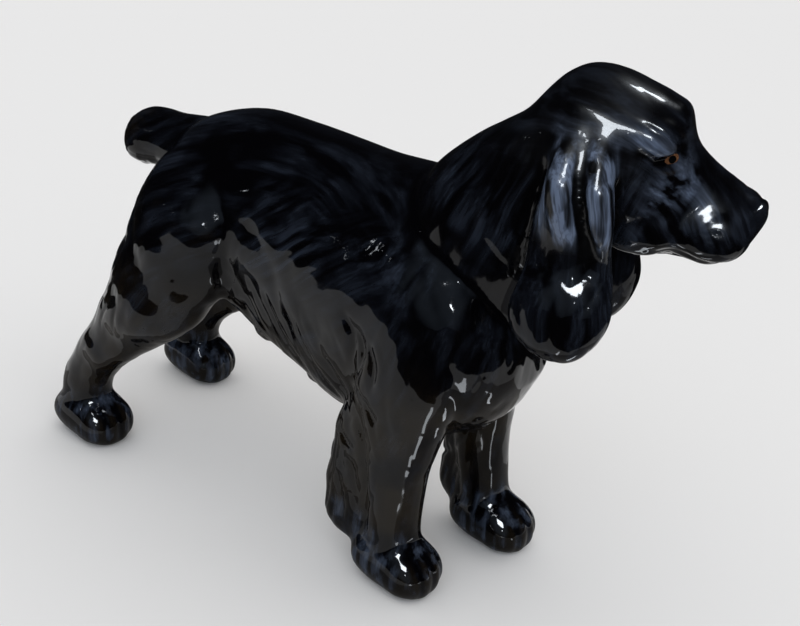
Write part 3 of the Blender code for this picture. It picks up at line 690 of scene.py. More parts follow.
class Coat:
    """A skin held as numbers, so that strokes can push it in and out along its own normals."""

    def __init__(self, mesh):
        self.mesh = mesh
        self.places = read_rows(mesh.vertices, "co")
        self.normals = read_rows(mesh.vertices, "normal")
        self.push = np.zeros(len(self.places))
        self.marks = {}
        corners = [vert.co for vert in mesh.vertices]
        self.tree = BVHTree.FromPolygons(corners, [tuple(face.vertices) for face in mesh.polygons])

    def flank(self, share, rise, turn):
        """The spot on one side of the dog at a share of the torso's length and of the back's height."""
        start = Vector((RUMP_X + share * TORSO_LENGTH, turn * 2 * TORSO_WIDTH, rise * BACK_HEIGHT))
        hit = self.tree.ray_cast(start, Vector((0.0, -turn, 0.0)))[0]
        return hit or start

    def cheek(self, x, z, turn):
        """The spot on one side of the head at a place on the straight head."""
        start = turned((x, turn * 2 * HEAD_WIDTH, z))
        hit = self.tree.ray_cast(start, turned((x, 0.0, z)) - start)[0]
        return hit or turned((x, 0.0, z))

    def trace(self, points, width):
        """How near each spot is to a smooth curve laid on the skin: 1 on it, 0 well off it and at its ends."""
        rows = [tuple(point) for point in points]
        span = sum(math.dist(a, b) for a, b in zip(rows, rows[1:]))
        count = max(8, int(span / (0.6 * width)))
        shares = np.linspace(0.0, 1.0, count)
        path = np.array([self.tree.find_nearest(Vector(row_at(rows, share)))[0] for share in shares])
        taper = np.sin(math.pi * (0.05 + 0.9 * shares)) ** 0.7
        felt = np.zeros(len(self.places))
        for _ in range(6):
            path[1:-1] = (path[:-2] + 2 * path[1:-1] + path[2:]) / 4
        for part in np.array_split(np.arange(count - 1), max(1, count // 10)):
            start, run = path[part], path[part + 1] - path[part]
            low, high = path[part[0]:part[-1] + 2].min(0) - 2.2 * width, path[part[0]:part[-1] + 2].max(0) + 2.2 * width
            near = np.flatnonzero(((self.places > low) & (self.places < high)).all(1))
            gap = self.places[near, None] - start
            along = np.clip((gap * run).sum(2) / ((run ** 2).sum(1) + 1e-9), 0.0, 1.0)
            away = ((gap - along[..., None] * run) ** 2).sum(2)
            strength = taper[part] + along * (taper[part + 1] - taper[part])
            felt[near] = np.maximum(felt[near], (strength * np.exp(-away / width ** 2)).max(1))
        return felt

    def stroke(self, points, width, depth):
        """A furrow, or a ridge where depth is positive, along a smooth curve laid on the skin."""
        self.push += depth * self.trace(points, width)

    def lump(self, reach, size, height):
        """The slight unevenness of hand-worked clay, wherever reach is above nothing."""
        held = np.flatnonzero(reach > 0.02)
        rolls = np.array([noise.noise(Vector(spot)) for spot in self.places[held] / size])
        self.push[held] += height * reach[held] * rolls

    def swell(self, centre, reach, height):
        """A broad soft swelling, or a hollow where height is negative, round a place."""
        away = (((self.places - centre) / reach) ** 2).sum(1)
        self.push += height * np.exp(-away)

    def ruffle(self, reach, along, width, length, depth, swirl=0.25):
        """Rounded locks with sharp partings between them, wherever reach is above nothing."""
        held = np.flatnonzero(reach > 0.02)
        along = np.array(Vector(along).normalized())
        spots = self.places[held]
        run = spots @ along
        flat = (spots - run[:, None] * along) / width + (run / length)[:, None] * along
        drift = np.array([noise.noise_vector(Vector(spot)) for spot in spots / (2.5 * width)])
        rolls = np.array([abs(noise.noise(Vector(spot))) for spot in flat + swirl * drift])
        self.push[held] += depth * reach[held] * (np.minimum(1.0, 2.6 * rolls) ** 0.7 - 0.6)

    def averaged(self, rounds):
        """The skin's places, each moved to the middle of its neighbours again and again."""
        ends = np.empty(2 * len(self.mesh.edges), dtype=np.int32)
        self.mesh.edges.foreach_get("vertices", ends)
        ends = ends.reshape(-1, 2)
        both = np.concatenate([ends, ends[:, ::-1]])
        count = np.bincount(both[:, 0], minlength=len(self.places))
        eased_places = self.places.copy()
        for _ in range(rounds):
            eased_places = np.stack([np.bincount(both[:, 0], eased_places[both[:, 1], axis], len(count)) / count
                                     for axis in range(3)], axis=1)
        return eased_places

    def soothe(self, reach, rounds):
        """Rubs the skin smooth wherever reach is above nothing."""
        self.places += reach[:, None] * (self.averaged(rounds) - self.places)

    def crest(self, rounds):
        """How far each spot stands out from its surroundings, negative in a hollow."""
        return ((self.places - self.averaged(rounds)) * self.normals).sum(1)

    def settle(self):
        """Moves the skin by what the strokes have gathered."""
        self.places += self.normals * self.push[:, None]
        self.mesh.vertices.foreach_set("co", self.places.ravel())
        self.mesh.update()
        self.normals = read_rows(self.mesh.vertices, "normal")


def read_rows(items, field):
    rows = np.empty(3 * len(items))
    items.foreach_get(field, rows)
    return rows.reshape(-1, 3)


def ramp(values, start, end):
    """0 at start, 1 at end, and smooth between them. start may be the greater."""
    share = np.clip((values - start) / (end - start), 0.0, 1.0)
    return share * share * (3 - 2 * share)


def lock_depth():
    return millimetres(sizes().lock_depth)


def both_sides(coat, path, width, depth, reach="flank"):
    """A stroke given once, laid on the right side and mirrored on the left."""
    place = getattr(coat, reach)
    for turn in SIDES.values():
        coat.stroke([place(*stop, turn) for stop in path], width, depth)


def comb_neck(coat):
    """The long folds down the neck and shoulder and the crease where the neck meets the withers."""
    x, z = coat.places[:, 0], coat.places[:, 2]
    back = NAPE_X - 0.85 * NECK_DEPTH
    reach = ramp(x, back, back + 12.0) * ramp(z, 0.48 * BACK_HEIGHT, 0.64 * BACK_HEIGHT)
    reach *= 1.0 - ramp(z, CROWN_HEIGHT - 20.0, CROWN_HEIGHT - 8.0)
    coat.ruffle(reach, (-0.35, 0.0, -0.94), 4.5, 26.0, 0.28 * lock_depth())
    deep = -lock_depth()
    both_sides(coat, ((0.775, 1.06), (0.765, 1.0), (0.75, 0.95), (0.745, 0.88), (0.72, 0.82)), 2.4, 0.35 * deep)
    both_sides(coat, ((0.83, 1.10), (0.85, 1.03), (0.86, 0.94), (0.85, 0.84), (0.83, 0.76)), 2.4, 0.35 * deep)
    both_sides(coat, ((0.89, 1.17), (0.92, 1.10), (0.93, 1.00), (0.92, 0.90), (0.90, 0.80)), 1.8, 0.6 * deep)
    both_sides(coat, ((0.79, 0.84), (0.83, 0.79), (0.87, 0.74), (0.89, 0.70)), 2.0, 0.5 * deep)
    both_sides(coat, ((0.90, 0.95), (0.935, 0.92), (0.96, 0.88)), 1.2, 0.5 * deep)


def comb_trunk(coat):
    """Short coat over the back, the hollow behind the shoulder and the fringes below."""
    x, y, z = coat.places.T
    share, rise = (x - RUMP_X) / TORSO_LENGTH, z / BACK_HEIGHT
    front = ramp(share, 0.66, 0.80)
    upper = (1 - front) * ramp(rise, 0.50, 0.66) * ramp(share, -0.02, 0.06)
    coat.ruffle(upper, (-0.92, 0.0, -0.40), 5.0, 26.0, 0.10 * lock_depth())
    low = (1 - ramp(rise, 0.52, 0.68)) * ramp(rise, 0.30, 0.36) * ramp(share, 0.20, 0.34)
    low *= 1 - 0.7 * ramp(share, 0.78, 0.88)
    coat.ruffle(low, (0.40, 0.0, -0.92), 3.4, 16.0, 0.50 * lock_depth())
    uneven = ramp(rise, 0.10, 0.16) * (1 - ramp(rise, 0.70, 0.90))
    uneven *= 1 - 0.75 * ramp(x, forepaw_x("right") - 0.4 * FORELEG_DEPTH, forepaw_x("right"))
    coat.lump(uneven, 9.0, 1.1 * lock_depth())
    coat.lump(uneven, 4.5, 0.35 * lock_depth())
    thigh = ramp(rise, 0.34, 0.42) * (1 - ramp(rise, 0.74, 0.84)) * (1 - ramp(share, 0.30, 0.40))
    coat.ruffle(thigh, (-0.22, 0.0, -0.97), 4.5, 20.0, 0.28 * lock_depth())
    coat.ruffle(thigh * (1 - ramp(share, 0.04, 0.12)), (-0.30, 0.0, -0.95), 2.6, 12.0, 0.5 * lock_depth())
    dock = 1 - ramp(share, -0.06, 0.0)
    coat.ruffle(dock * ramp(rise, 0.72, 0.76), (-1.0, 0.0, 0.1), 3.0, 9.0, 0.3 * lock_depth())
    for turn in SIDES.values():
        coat.swell((-42.0, turn * 25.0, 74.0), (17.0, 14.0, 9.0), 2.0)
        coat.swell((-37.0, turn * 25.0, 52.0), (15.0, 14.0, 10.0), -2.0)
        coat.swell((27.0, turn * 21.0, 66.0), (14.0, 12.0, 9.0), 1.5)
        coat.swell((8.0, turn * 20.0, 68.0), (12.0, 12.0, 9.0), 1.0)
        coat.swell((28.0, turn * 21.0, 41.0), (13.0, 12.0, 10.0), -1.1)
        coat.swell((-31.0, turn * 17.0, 50.0), (3.2, 6.0, 3.2), 0.8)
        coat.swell((-64.0, turn * 28.0, 27.5), (3.0, 6.0, 3.0), 0.7)
        coat.swell((-51.0, turn * 29.0, 48.0), (3.0, 6.0, 3.4), 0.5)
    deep = -lock_depth()
    both_sides(coat, ((0.58, 0.93), (0.63, 0.89), (0.68, 0.83), (0.70, 0.77)), 5.0, 0.9 * deep)
    both_sides(coat, ((0.22, 0.76), (0.27, 0.79), (0.33, 0.78), (0.39, 0.75), (0.43, 0.70), (0.46, 0.62), (0.46, 0.57)),
               2.4, 0.7 * deep)
    both_sides(coat, ((0.04, 0.84), (0.035, 0.76), (0.05, 0.69), (0.08, 0.63), (0.10, 0.56), (0.10, 0.49)), 1.8, 0.8 * deep)
    both_sides(coat, ((0.27, 0.60), (0.29, 0.575), (0.33, 0.555)), 2.0, -1.2 * deep)
    for step in range(7):
        start = 0.30 + 0.055 * step
        sag = 0.66 - 0.022 * step + 0.02 * (step % 2)
        path = ((start, sag), (start + 0.035, sag - 0.06), (start + 0.085, sag - 0.13), (start + 0.12, sag - 0.17))
        both_sides(coat, path, 1.1 + 0.3 * (step % 2), (0.45 + 0.3 * (step % 3)) * deep)
    for start, top in ((0.66, 0.68), (0.69, 0.66), (0.73, 0.63)):
        both_sides(coat, ((start, top), (start + 0.025, top - 0.05), (start + 0.02, top - 0.11)), 1.1, 1.6 * deep)
    both_sides(coat, ((0.70, 0.50), (0.735, 0.47), (0.77, 0.44)), 1.2, 1.6 * deep)
    both_sides(coat, ((0.90, 0.56), (0.925, 0.545), (0.95, 0.55)), 1.6, 0.4 * deep)
    for scallop in range(3):
        lead = 0.90 + 0.028 * scallop
        lift = 0.43 + 0.036 * scallop
        both_sides(coat, ((lead, lift + 0.05), (lead + 0.014, lift), (lead + 0.028, lift + 0.035)), 1.6, 0.6 * deep)


def comb_legs(coat):
    """Feathered backs, smooth fronts and the hocks of all four legs."""
    x, y, z = coat.places.T
    deep = -lock_depth()
    below = 1 - ramp(z, BRISKET_HEIGHT - 4.0, BRISKET_HEIGHT + 14.0)
    for side, turn in SIDES.items():
        near = np.where(y * turn > 0, 1.0, 0.0) * ramp(z, 0.06 * BACK_HEIGHT, 0.13 * BACK_HEIGHT)
        fore = near * ramp(x, 0.0, 4.0)
        foot = forepaw_x(side)
        feather = fore * (1 - ramp(x, foot - 0.55 * FORELEG_DEPTH, foot - 0.20 * FORELEG_DEPTH)) * below
        coat.ruffle(feather, (-0.12, 0.0, -0.99), 2.4, 14.0, 0.8 * lock_depth())
        coat.ruffle(fore * below * 0.8, (0.0, 0.0, -1.0), 4.0, 20.0, 0.2 * lock_depth())
        hind = near * (1 - ramp(x, -12.0, -6.0)) * (1 - ramp(z, 30.0, 42.0))
        coat.ruffle(hind, (-0.25, 0.0, -0.97), 4.0, 16.0, 0.25 * lock_depth())

        def leg(*stops):
            return [coat.flank((foot + back * FORELEG_DEPTH - RUMP_X) / TORSO_LENGTH, rise, turn)
                    for back, rise in stops]
        coat.stroke(leg((-0.95, 0.46), (-0.80, 0.38), (-0.66, 0.30), (-0.58, 0.22), (-0.56, 0.14)), 1.1, 1.8 * deep)
        coat.stroke(leg((-1.45, 0.37), (-1.25, 0.34), (-1.02, 0.33)), 0.9, 1.5 * deep)
        coat.stroke(leg((-1.10, 0.30), (-0.98, 0.27), (-0.86, 0.22)), 0.9, 1.5 * deep)
        coat.stroke(leg((-1.30, 0.24), (-1.20, 0.18), (-1.12, 0.12)), 0.8, 1.5 * deep)


def part_toes(coat):
    """The shallow furrows between the toes, rubbed into the front of each paw."""
    z = coat.places[:, 2]
    coat.soothe(0.9 * (1 - ramp(z, 0.9 * PAW_HEIGHT, 1.5 * PAW_HEIGHT)), 14)
    for paw_x, side_y in paws():
        for place in (-1.0, 0.0, 1.0):
            y = side_y + place * 0.25 * PAW_WIDTH
            tip_x = paw_x + (0.52 - 0.03 * place * place) * PAW_LENGTH
            path = [(paw_x + 0.30 * PAW_LENGTH, side_y + place * 0.22 * PAW_WIDTH, 0.84 * PAW_HEIGHT),
                    (paw_x + 0.42 * PAW_LENGTH, y, 0.62 * PAW_HEIGHT),
                    (tip_x, y, 0.32 * PAW_HEIGHT),
                    (tip_x - 0.04 * PAW_LENGTH, y, 0.0)]
            coat.stroke(path, 1.0, -0.8 * lock_depth())


def comb_ears(coat):
    """The groove between the folds, the strands that run down them and the locks of the lobe."""
    straight = unturned(coat.places)
    down = (CROWN_HEIGHT - EAR_DROP - straight[:, 2]) / EAR_LENGTH["right"]
    out = ramp(np.abs(straight[:, 1]), 0.72 * EAR_SPREAD, 0.95 * EAR_SPREAD)
    coat.soothe(0.9 * out * ramp(down, 0.42, 0.52), 60)
    coat.soothe(0.8 * out * (1 - ramp(down, 0.42, 0.52)), 16)
    coat.ruffle(out * ramp(down, 0.50, 0.66), (0.10, 0.0, -1.0), 3.6, 18.0, 0.15 * lock_depth())
    coat.ruffle(out * ramp(down, 0.06, 0.20) * (1 - ramp(down, 0.50, 0.64)), (0.20, 0.0, -0.98), 2.6, 16.0,
                0.10 * lock_depth())
    for side, turn in SIDES.items():
        coat.swell(turned((51.5, turn * 23.5, CROWN_HEIGHT - EAR_DROP - 0.93 * EAR_LENGTH[side])), (7.0, 6.0, 4.5), 0.7)

        def line(*stops):
            return [coat.cheek(NAPE_X + across * EAR_WIDTH, CROWN_HEIGHT - EAR_DROP - fall * EAR_LENGTH[side], turn)
                    for fall, across in stops]
        coat.stroke(line((0.08, 0.62), (0.26, 0.66), (0.40, 0.75), (0.52, 0.86)), 2.0, -1.9 * lock_depth())
        coat.stroke(line((0.46, 0.80), (0.54, 0.84), (0.62, 0.90), (0.68, 0.98)), 2.6, -1.2 * lock_depth())
        coat.stroke(line((0.46, 0.34), (0.52, 0.36), (0.60, 0.42), (0.66, 0.50)), 2.0, -0.9 * lock_depth())
        coat.stroke(line((0.72, 0.30), (0.80, 0.34), (0.88, 0.42)), 1.2, -0.8 * lock_depth())
        coat.stroke(line((0.70, 0.62), (0.78, 0.60), (0.90, 0.62), (0.98, 0.66)), 1.3, -0.7 * lock_depth())
        coat.stroke(line((0.72, 0.90), (0.82, 0.90), (0.92, 0.84)), 1.2, -0.6 * lock_depth())


def comb_face(coat):
    """Eye sockets and lids, nostrils, the lip line and the short locks of the cheeks."""
    straight = unturned(coat.places)
    skull = 1 - ramp(np.abs(straight[:, 1]), 0.62 * EAR_SPREAD, 0.80 * EAR_SPREAD)
    ahead = ramp(straight[:, 0], NAPE_X + 0.30 * HEAD_LENGTH, NAPE_X + 0.50 * HEAD_LENGTH)
    high = ramp(straight[:, 2], CROWN_HEIGHT - 0.5 * HEAD_DEPTH, CROWN_HEIGHT - 0.3 * HEAD_DEPTH)
    temple = ramp(straight[:, 2], CROWN_HEIGHT - 0.56 * HEAD_DEPTH, CROWN_HEIGHT - 0.46 * HEAD_DEPTH)
    temple *= 1 - ramp(straight[:, 0], NAPE_X + 0.42 * HEAD_LENGTH, NAPE_X + 0.52 * HEAD_LENGTH)
    coat.soothe(temple, 80)
    front = ramp(straight[:, 0], NAPE_X + 29.0, NAPE_X + 34.0) * (1 - ramp(straight[:, 2], 106.0, 110.0))
    coat.soothe(0.9 * front, 50)
    for turn in SIDES.values():
        eye = eye_centre(turn)
        hood = turned((eye.x - 2.0, eye.y, eye.z + 3.0))
        coat.soothe(0.9 * np.exp(-((coat.places - np.array(hood)) ** 2).sum(1) / 4.5 ** 2), 60)
    coat.ruffle(skull * high, (-0.85, 0.0, 0.35), 3.0, 12.0, 0.08 * lock_depth())
    coat.ruffle(ahead * (1 - high), (-0.90, 0.0, -0.40), 3.2, 12.0, 0.06 * lock_depth())
    mm = lock_depth() / 0.5
    for turn in SIDES.values():
        eye = eye_centre(turn)

        def around(*steps):
            return [coat.cheek(eye.x + dx, eye.z + dz, turn) for dx, dz in steps]
        coat.stroke(around((-1.4, -0.9), (0.3, -0.4), (1.8, 0.6)), 1.3, -0.7 * mm)
        coat.stroke(around((-3.0, -0.6), (-1.8, 1.0), (-0.2, 2.2), (1.6, 2.9)), 1.1, 0.5 * mm)
        coat.stroke(around((-3.0, -1.7), (-0.6, -2.5), (1.8, -2.3), (3.2, -0.8)), 0.7, 0.35 * mm)
        coat.stroke(around((-5.6, -6.4), (-3.2, -6.0), (-0.6, -5.6)), 1.3, 0.35 * mm)
        coat.stroke(around((-5.4, -14.0), (-4.2, -11.6), (-1.8, -10.8)), 1.5, 0.25 * mm)
        for dx, dz in ((10.2, -13.0), (12.4, -12.4), (11.4, -13.9), (9.0, -14.2)):
            coat.stroke(around((dx - 0.7, dz), (dx, dz - 0.1), (dx + 0.7, dz)), 0.5, -0.25 * mm)
        nostril = eye.x + 18.4
        coat.stroke([coat.cheek(nostril - 0.6, eye.z - 7.6, turn), coat.cheek(nostril + 0.5, eye.z - 7.0, turn),
                     coat.cheek(nostril + 1.0, eye.z - 6.2, turn)], 0.8, -0.6 * mm)
        lip = [(82.0, 1.0, 97.0), (80.6, 3.4, 94.6), (77.0, 7.2, 93.0), (71.5, 9.6, 92.2), (66.0, 9.8, 92.2),
               (62.0, 10.4, 93.4)]
        coat.stroke([turned((x, turn * y, z)) for x, y, z in lip], 1.1, -0.5 * mm)
    coat.stroke([turned((83.6, 0.0, 103.0)), turned((82.8, 0.0, 99.6)), turned((81.4, 0.0, 96.4))], 0.6, -0.6 * mm)


def unturned(places):
    """Places on the head as it was before it was turned."""
    turn = np.array(Matrix.Rotation(math.radians(-HEAD_TURN), 3, "Z"))
    pivot = np.array(HEAD_PIVOT)
    return pivot + (places - pivot) @ turn.T


def combed(mesh, strokes, mark):
    """The skin with its strokes pressed in, and its marks for the glaze written as attributes."""
    coat = Coat(mesh)
    for comb in strokes:
        comb(coat)
    coat.settle()
    mark(coat)
    coat.marks["crest"] = np.clip(coat.crest(12) / 0.35, -1.0, 1.0)
    coat.marks["bare"] = (coat.places[:, 2] < 0.01).astype(float)
    for name, values in coat.marks.items():
        kind = "FLOAT" if values.ndim == 1 else "FLOAT_VECTOR"
        attribute = mesh.attributes.new(name, kind, "POINT")
        attribute.data.foreach_set("value" if values.ndim == 1 else "vector", values.astype(np.float32).ravel())
    return mesh


def arcs_about(coat, centre):
    """Each spot's distance from a line across the dog, and how far round it lies, in metres."""
    x, y, z = coat.places.T
    radius = np.hypot(x - centre[0], z - centre[1])
    swing = np.arctan2(z - centre[1], x - centre[0])
    return np.stack([radius, 42.0 * swing, 0.5 * y], axis=1) / 1000


def mark_trunk(coat):
    """How the hair lies: in arcs round the thigh, slanting down the flank, hanging before the shoulder."""
    x, _, z = coat.places.T
    share, rise = (x - RUMP_X) / TORSO_LENGTH, z / BACK_HEIGHT
    neck = ramp(share, 0.68, 0.80)
    leg = 1 - ramp(rise, 0.32, 0.44)
    coat.marks["arc"] = arcs_about(coat, (RUMP_X + 0.40 * TORSO_LENGTH, 0.30 * BACK_HEIGHT))
    coat.marks["arcs"] = (1 - neck) * (1 - leg) * np.maximum(1 - ramp(share, 0.26, 0.36), ramp(rise, 0.84, 0.92))
    coat.marks["hanging"] = np.clip(neck + leg, 0, 1)
    hollow = np.exp(-((share - 0.60) / 0.07) ** 2 - ((rise - 0.86) / 0.10) ** 2)
    shoulder = np.exp(-((share - 0.74) / 0.07) ** 2 - ((rise - 0.84) / 0.12) ** 2)
    flank = np.exp(-((share - 0.47) / 0.11) ** 2 - ((rise - 0.82) / 0.14) ** 2)
    rump = np.exp(-((share - 0.20) / 0.14) ** 2 - ((rise - 0.90) / 0.10) ** 2)
    mane = neck * ramp(rise, 0.80, 0.95)
    amount = 0.08 + 0.24 * flank + 0.20 * shoulder + 0.14 * rump + 0.08 * mane - 0.08 * hollow
    spine = ramp(rise, 0.96, 1.0) * (1 - neck)
    paw = 1 - ramp(z, PAW_HEIGHT, 1.3 * PAW_HEIGHT)
    proud = ramp(coat.crest(60), -0.30, 0.06)
    # Painted highlight: on the paws, patches of the pale hair colour stand for soft bluish highlights.
    coat.marks["wisps_and_highlights"] = np.clip(amount * (1 - 0.8 * spine) * (1 - 0.4 * leg) * proud + 0.45 * paw, 0, 1)
    # Painted reflection: the lower body, paws aside, gets a mottled brown that stands for the warm table mirrored in
    # the glaze.
    coat.marks["thin"] = (1 - ramp(rise, 0.46, 0.66)) * (1 - paw)
    coat.marks["satin"] = np.zeros(len(x))


def mark_head(coat):
    """Ears, cheeks and muzzle carry most of the pale wisps; the crown stays black."""
    mark_trunk(coat)
    straight = unturned(coat.places)
    x, side, z = straight[:, 0], np.abs(straight[:, 1]), straight[:, 2]
    down = (CROWN_HEIGHT - EAR_DROP - z) / EAR_LENGTH["right"]
    ear = ramp(side, 0.74 * EAR_SPREAD, 0.92 * EAR_SPREAD) * (1 - ramp(x, NAPE_X + 25.0, NAPE_X + 28.0))
    face = ramp(x, NAPE_X + 0.42 * HEAD_LENGTH, NAPE_X + 0.56 * HEAD_LENGTH)
    skull = ramp(z, CROWN_HEIGHT - 22.0, CROWN_HEIGHT - 12.0)
    own = np.maximum(np.maximum(face, ear), ramp(z, CROWN_HEIGHT - 28.0, CROWN_HEIGHT - 14.0))
    coat.marks["arc"] = arcs_about(coat, (NAPE_X + 10.0, CROWN_HEIGHT - 48.0))
    coat.marks["arcs"] = (1 - ear) * np.maximum(face, skull)
    coat.marks["hanging"] = 1 - coat.marks["arcs"]
    lobe = ear * ramp(down, 0.50, 0.62)
    muzzle = np.exp(-((x - 69.0) / 7.5) ** 2 - ((z - 104.0) / 6.0) ** 2) * ramp(z, 94.0, 98.0)
    muzzle = (muzzle + 0.5 * np.exp(-((x - 59.0) / 6.0) ** 2 - ((z - 100.0) / 6.0) ** 2)) * ramp(side, 3.5, 7.0)
    folds = ear * (1 - ramp(down, 0.44, 0.54)) * ramp(down, 0.08, 0.20)
    temple = np.exp(-((x - 50.0) / 9.0) ** 2 - ((z - 114.0) / 5.0) ** 2)
    brow = np.exp(-((x - 60.0) / 4.0) ** 2 - ((z - 114.5) / 2.2) ** 2) * ramp(side, 9.0, 12.0)
    amount = 0.05 + 1.8 * folds + 0.04 * lobe + 1.3 * muzzle + 0.50 * temple * (1 - folds) + 0.06 * face + 1.2 * brow
    proud = ramp(coat.crest(60), -0.30, 0.06)
    coat.marks["wisps_and_highlights"] = own * np.clip(amount * proud, 0, 2) + (1 - own) * coat.marks["wisps_and_highlights"]
    coat.marks["thin"] = np.zeros(len(x))
    coat.marks["satin"] = own * (1 - 0.9 * lobe) * (1 - 0.8 * ramp(z, 100.0, 94.0) * (1 - ear)) * (1 - 0.6 * face)


def block(low, high, tilt=None):
    """A box between two corners. tilt turns it about a point in the XZ plane."""
    bm = bmesh.new()
    size = [b - a for a, b in zip(low, high)]
    middle = [(a + b) / 2 for a, b in zip(low, high)]
    bmesh.ops.create_cube(bm, size=1.0, matrix=Matrix.Translation(middle) @ Matrix.Diagonal((*size, 1.0)))
    if tilt:
        degrees, about = tilt
        bmesh.ops.rotate(bm, cent=about, matrix=Matrix.Rotation(math.radians(degrees), 3, "Y"), verts=bm.verts)
    return mesh_of("block", bm)


def saw_regions():
    """The block that each sawn-off casting lies in."""
    elbow_x = shoulder_x("right") - 2 * FORELEG_DEPTH
    elbow_height = BRISKET_HEIGHT - FORELEG_SEAM_DROP
    flank_x = RUMP_X + 0.27 * TORSO_LENGTH
    hock_height = LOIN_HEIGHT - HINDLEG_SEAM_DROP
    outside = TORSO_WIDTH * 2
    tail_x = RUMP_X - TAIL_SEAM_SETBACK
    tail_under = BACK_HEIGHT - TAIL_DROP - 1.05 * TAIL_DEPTH
    throat = (NAPE_X, 0.0, BACK_HEIGHT)

    def leg(side, x_low, x_high, seam):
        y_low, y_high = (-outside, 0.0) if side == "right" else (0.0, outside)
        return block((x_low, y_low, -SAW_OVERRUN), (x_high, y_high, seam))

    return {
        "foreleg_right": leg("right", elbow_x, CHEST_X + TORSO_WIDTH, elbow_height),
        "foreleg_left": leg("left", elbow_x, CHEST_X + TORSO_WIDTH, elbow_height),
        "hindleg_right": leg("right", RUMP_X - TORSO_LENGTH, flank_x, hock_height),
        "hindleg_left": leg("left", RUMP_X - TORSO_LENGTH, flank_x, hock_height),
        "tail": block((tail_x - TORSO_LENGTH, -0.6 * TAIL_WIDTH, tail_under),
                      (tail_x, 0.6 * TAIL_WIDTH, CROWN_HEIGHT)),
        "head": block((NAPE_X - TORSO_LENGTH, -outside, BACK_HEIGHT),
                      (NAPE_X + TORSO_LENGTH, outside, BACK_HEIGHT + TORSO_LENGTH), (NECK_SEAM_TILT, throat)),
        "ear_right": ear_block("right"),
        "ear_left": ear_block("left"),
    }


def trim_soles(mesh):
    """The paws ground flat on the plane that they stand on."""
    bm = bmesh.new()
    bm.from_mesh(mesh)
    geom = bm.verts[:] + bm.edges[:] + bm.faces[:]
    bmesh.ops.bisect_plane(bm, geom=geom, plane_co=(0, 0, 0), plane_no=(0, 0, -1), clear_outer=True)
    bmesh.ops.holes_fill(bm, edges=bm.edges)
    bm.to_mesh(mesh)
    bm.free()


def sawn(skin, keep=None, lose=()):
    """What lies inside one block and outside others."""
    work = bpy.data.objects.new("work", skin)
    bpy.context.scene.collection.objects.link(work)
    cutters = []
    for operation, meshes in (("INTERSECT", [keep] if keep else []), ("DIFFERENCE", lose)):
        for mesh in meshes:
            cutter = bpy.data.objects.new("cutter", mesh)
            cutters.append(cutter)
            step = work.modifiers.new("saw", "BOOLEAN")
            step.solver = "MANIFOLD"
            step.operation = operation
            step.object = cutter
    cut = evaluated_mesh(work)
    for obj in (work, *cutters):
        bpy.data.objects.remove(obj)
    return cut


MARKS = {name: ("FLOAT", "value", 1) for name in ("arcs", "hanging", "wisps_and_highlights", "crest", "bare", "thin", "satin")}
MARKS["arc"] = ("FLOAT_VECTOR", "vector", 3)


def carry_finish(cut, skin):
    """A sawn piece keeps the whole skin's shading and marks, so that no seam shows in the glaze."""
    tree = KDTree(len(skin.vertices))
    for vert in skin.vertices:
        tree.insert(vert.co, vert.index)
    tree.balance()
    source = np.array([tree.find(vert.co)[1] for vert in cut.vertices])
    normals = read_rows(skin.vertices, "normal")[source]
    for mark, (kind, field, wide) in MARKS.items():
        values = np.empty(wide * len(skin.vertices), dtype=np.float32)
        skin.attributes[mark].data.foreach_get(field, values)
        attribute = cut.attributes.get(mark) or cut.attributes.new(mark, kind, "POINT")
        attribute.data.foreach_set(field, values.reshape(-1, wide)[source].ravel())
    cut.shade_smooth()
    cut.normals_split_custom_set_from_vertices(normals)


class Kiln:
    """Places finished pieces: scaled to metres, stood on the frame, tied to the root and shown in place of the casting
    they dress.
    """

    def __init__(self, skin):
        low = Vector([min(vert.co[axis] for vert in skin.vertices) for axis in range(3)])
        high = Vector([max(vert.co[axis] for vert in skin.vertices) for axis in range(3)])
        self.unit = (CAD_HIGH.z - CAD_LOW.z) / high.z
        middle = (low + high) / 2
        seat = (CAD_LOW + CAD_HIGH) / 2
        self.place = Matrix.Translation((seat.x, seat.y, CAD_LOW.z)) @ Matrix.Scale(self.unit, 4)
        self.place = self.place @ Matrix.Translation((-middle.x, -middle.y, 0.0))

    def fire(self, name, mesh, material, node=None, slot="black_glaze"):
        mesh.transform(self.place)
        mesh.name = name
        mesh.materials.clear()
        mesh.materials.append(material)
        piece = bpy.data.objects.new(name, mesh)
        bpy.context.scene.collection.objects.link(piece)
        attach(piece, "root")
        if node:
            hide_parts(node)
        return piece


kiln = None


def new_material(name):
    material = bpy.data.materials.new(name)
    material.use_nodes = True
    return material, material.node_tree.nodes, material.node_tree.links, material.node_tree.nodes["Principled BSDF"]


def add_node(nodes, kind, **inputs):
    """A node of a kind, its named sockets set."""
    node = nodes.new(kind)
    for name, value in inputs.items():
        node.inputs[name.replace("_", " ")].default_value = value
    return node


def math_node(tree, operation, *values, clamp=False):
    """A Math node whose inputs are numbers or other sockets. Gives its result socket."""
    node = tree.nodes.new("ShaderNodeMath")
    node.operation = operation
    node.use_clamp = clamp
    for socket, value in zip(node.inputs, values):
        if isinstance(value, bpy.types.NodeSocket):
            tree.links.new(value, socket)
        else:
            socket.default_value = value
    return node.outputs[0]


def vector_math(tree, operation, *values):
    node = tree.nodes.new("ShaderNodeVectorMath")
    node.operation = operation
    for socket, value in zip(node.inputs, values):
        if isinstance(value, bpy.types.NodeSocket):
            tree.links.new(value, socket)
        else:
            socket.default_value = value
    return node


def spread(tree, value, low, high):
    """A value stretched so that low becomes 0 and high becomes 1."""
    node = tree.nodes.new("ShaderNodeMapRange")
    node.interpolation_type = "SMOOTHSTEP"
    node.inputs["From Min"].default_value = low
    node.inputs["From Max"].default_value = high
    tree.links.new(value, node.inputs["Value"])
    return node.outputs["Result"]


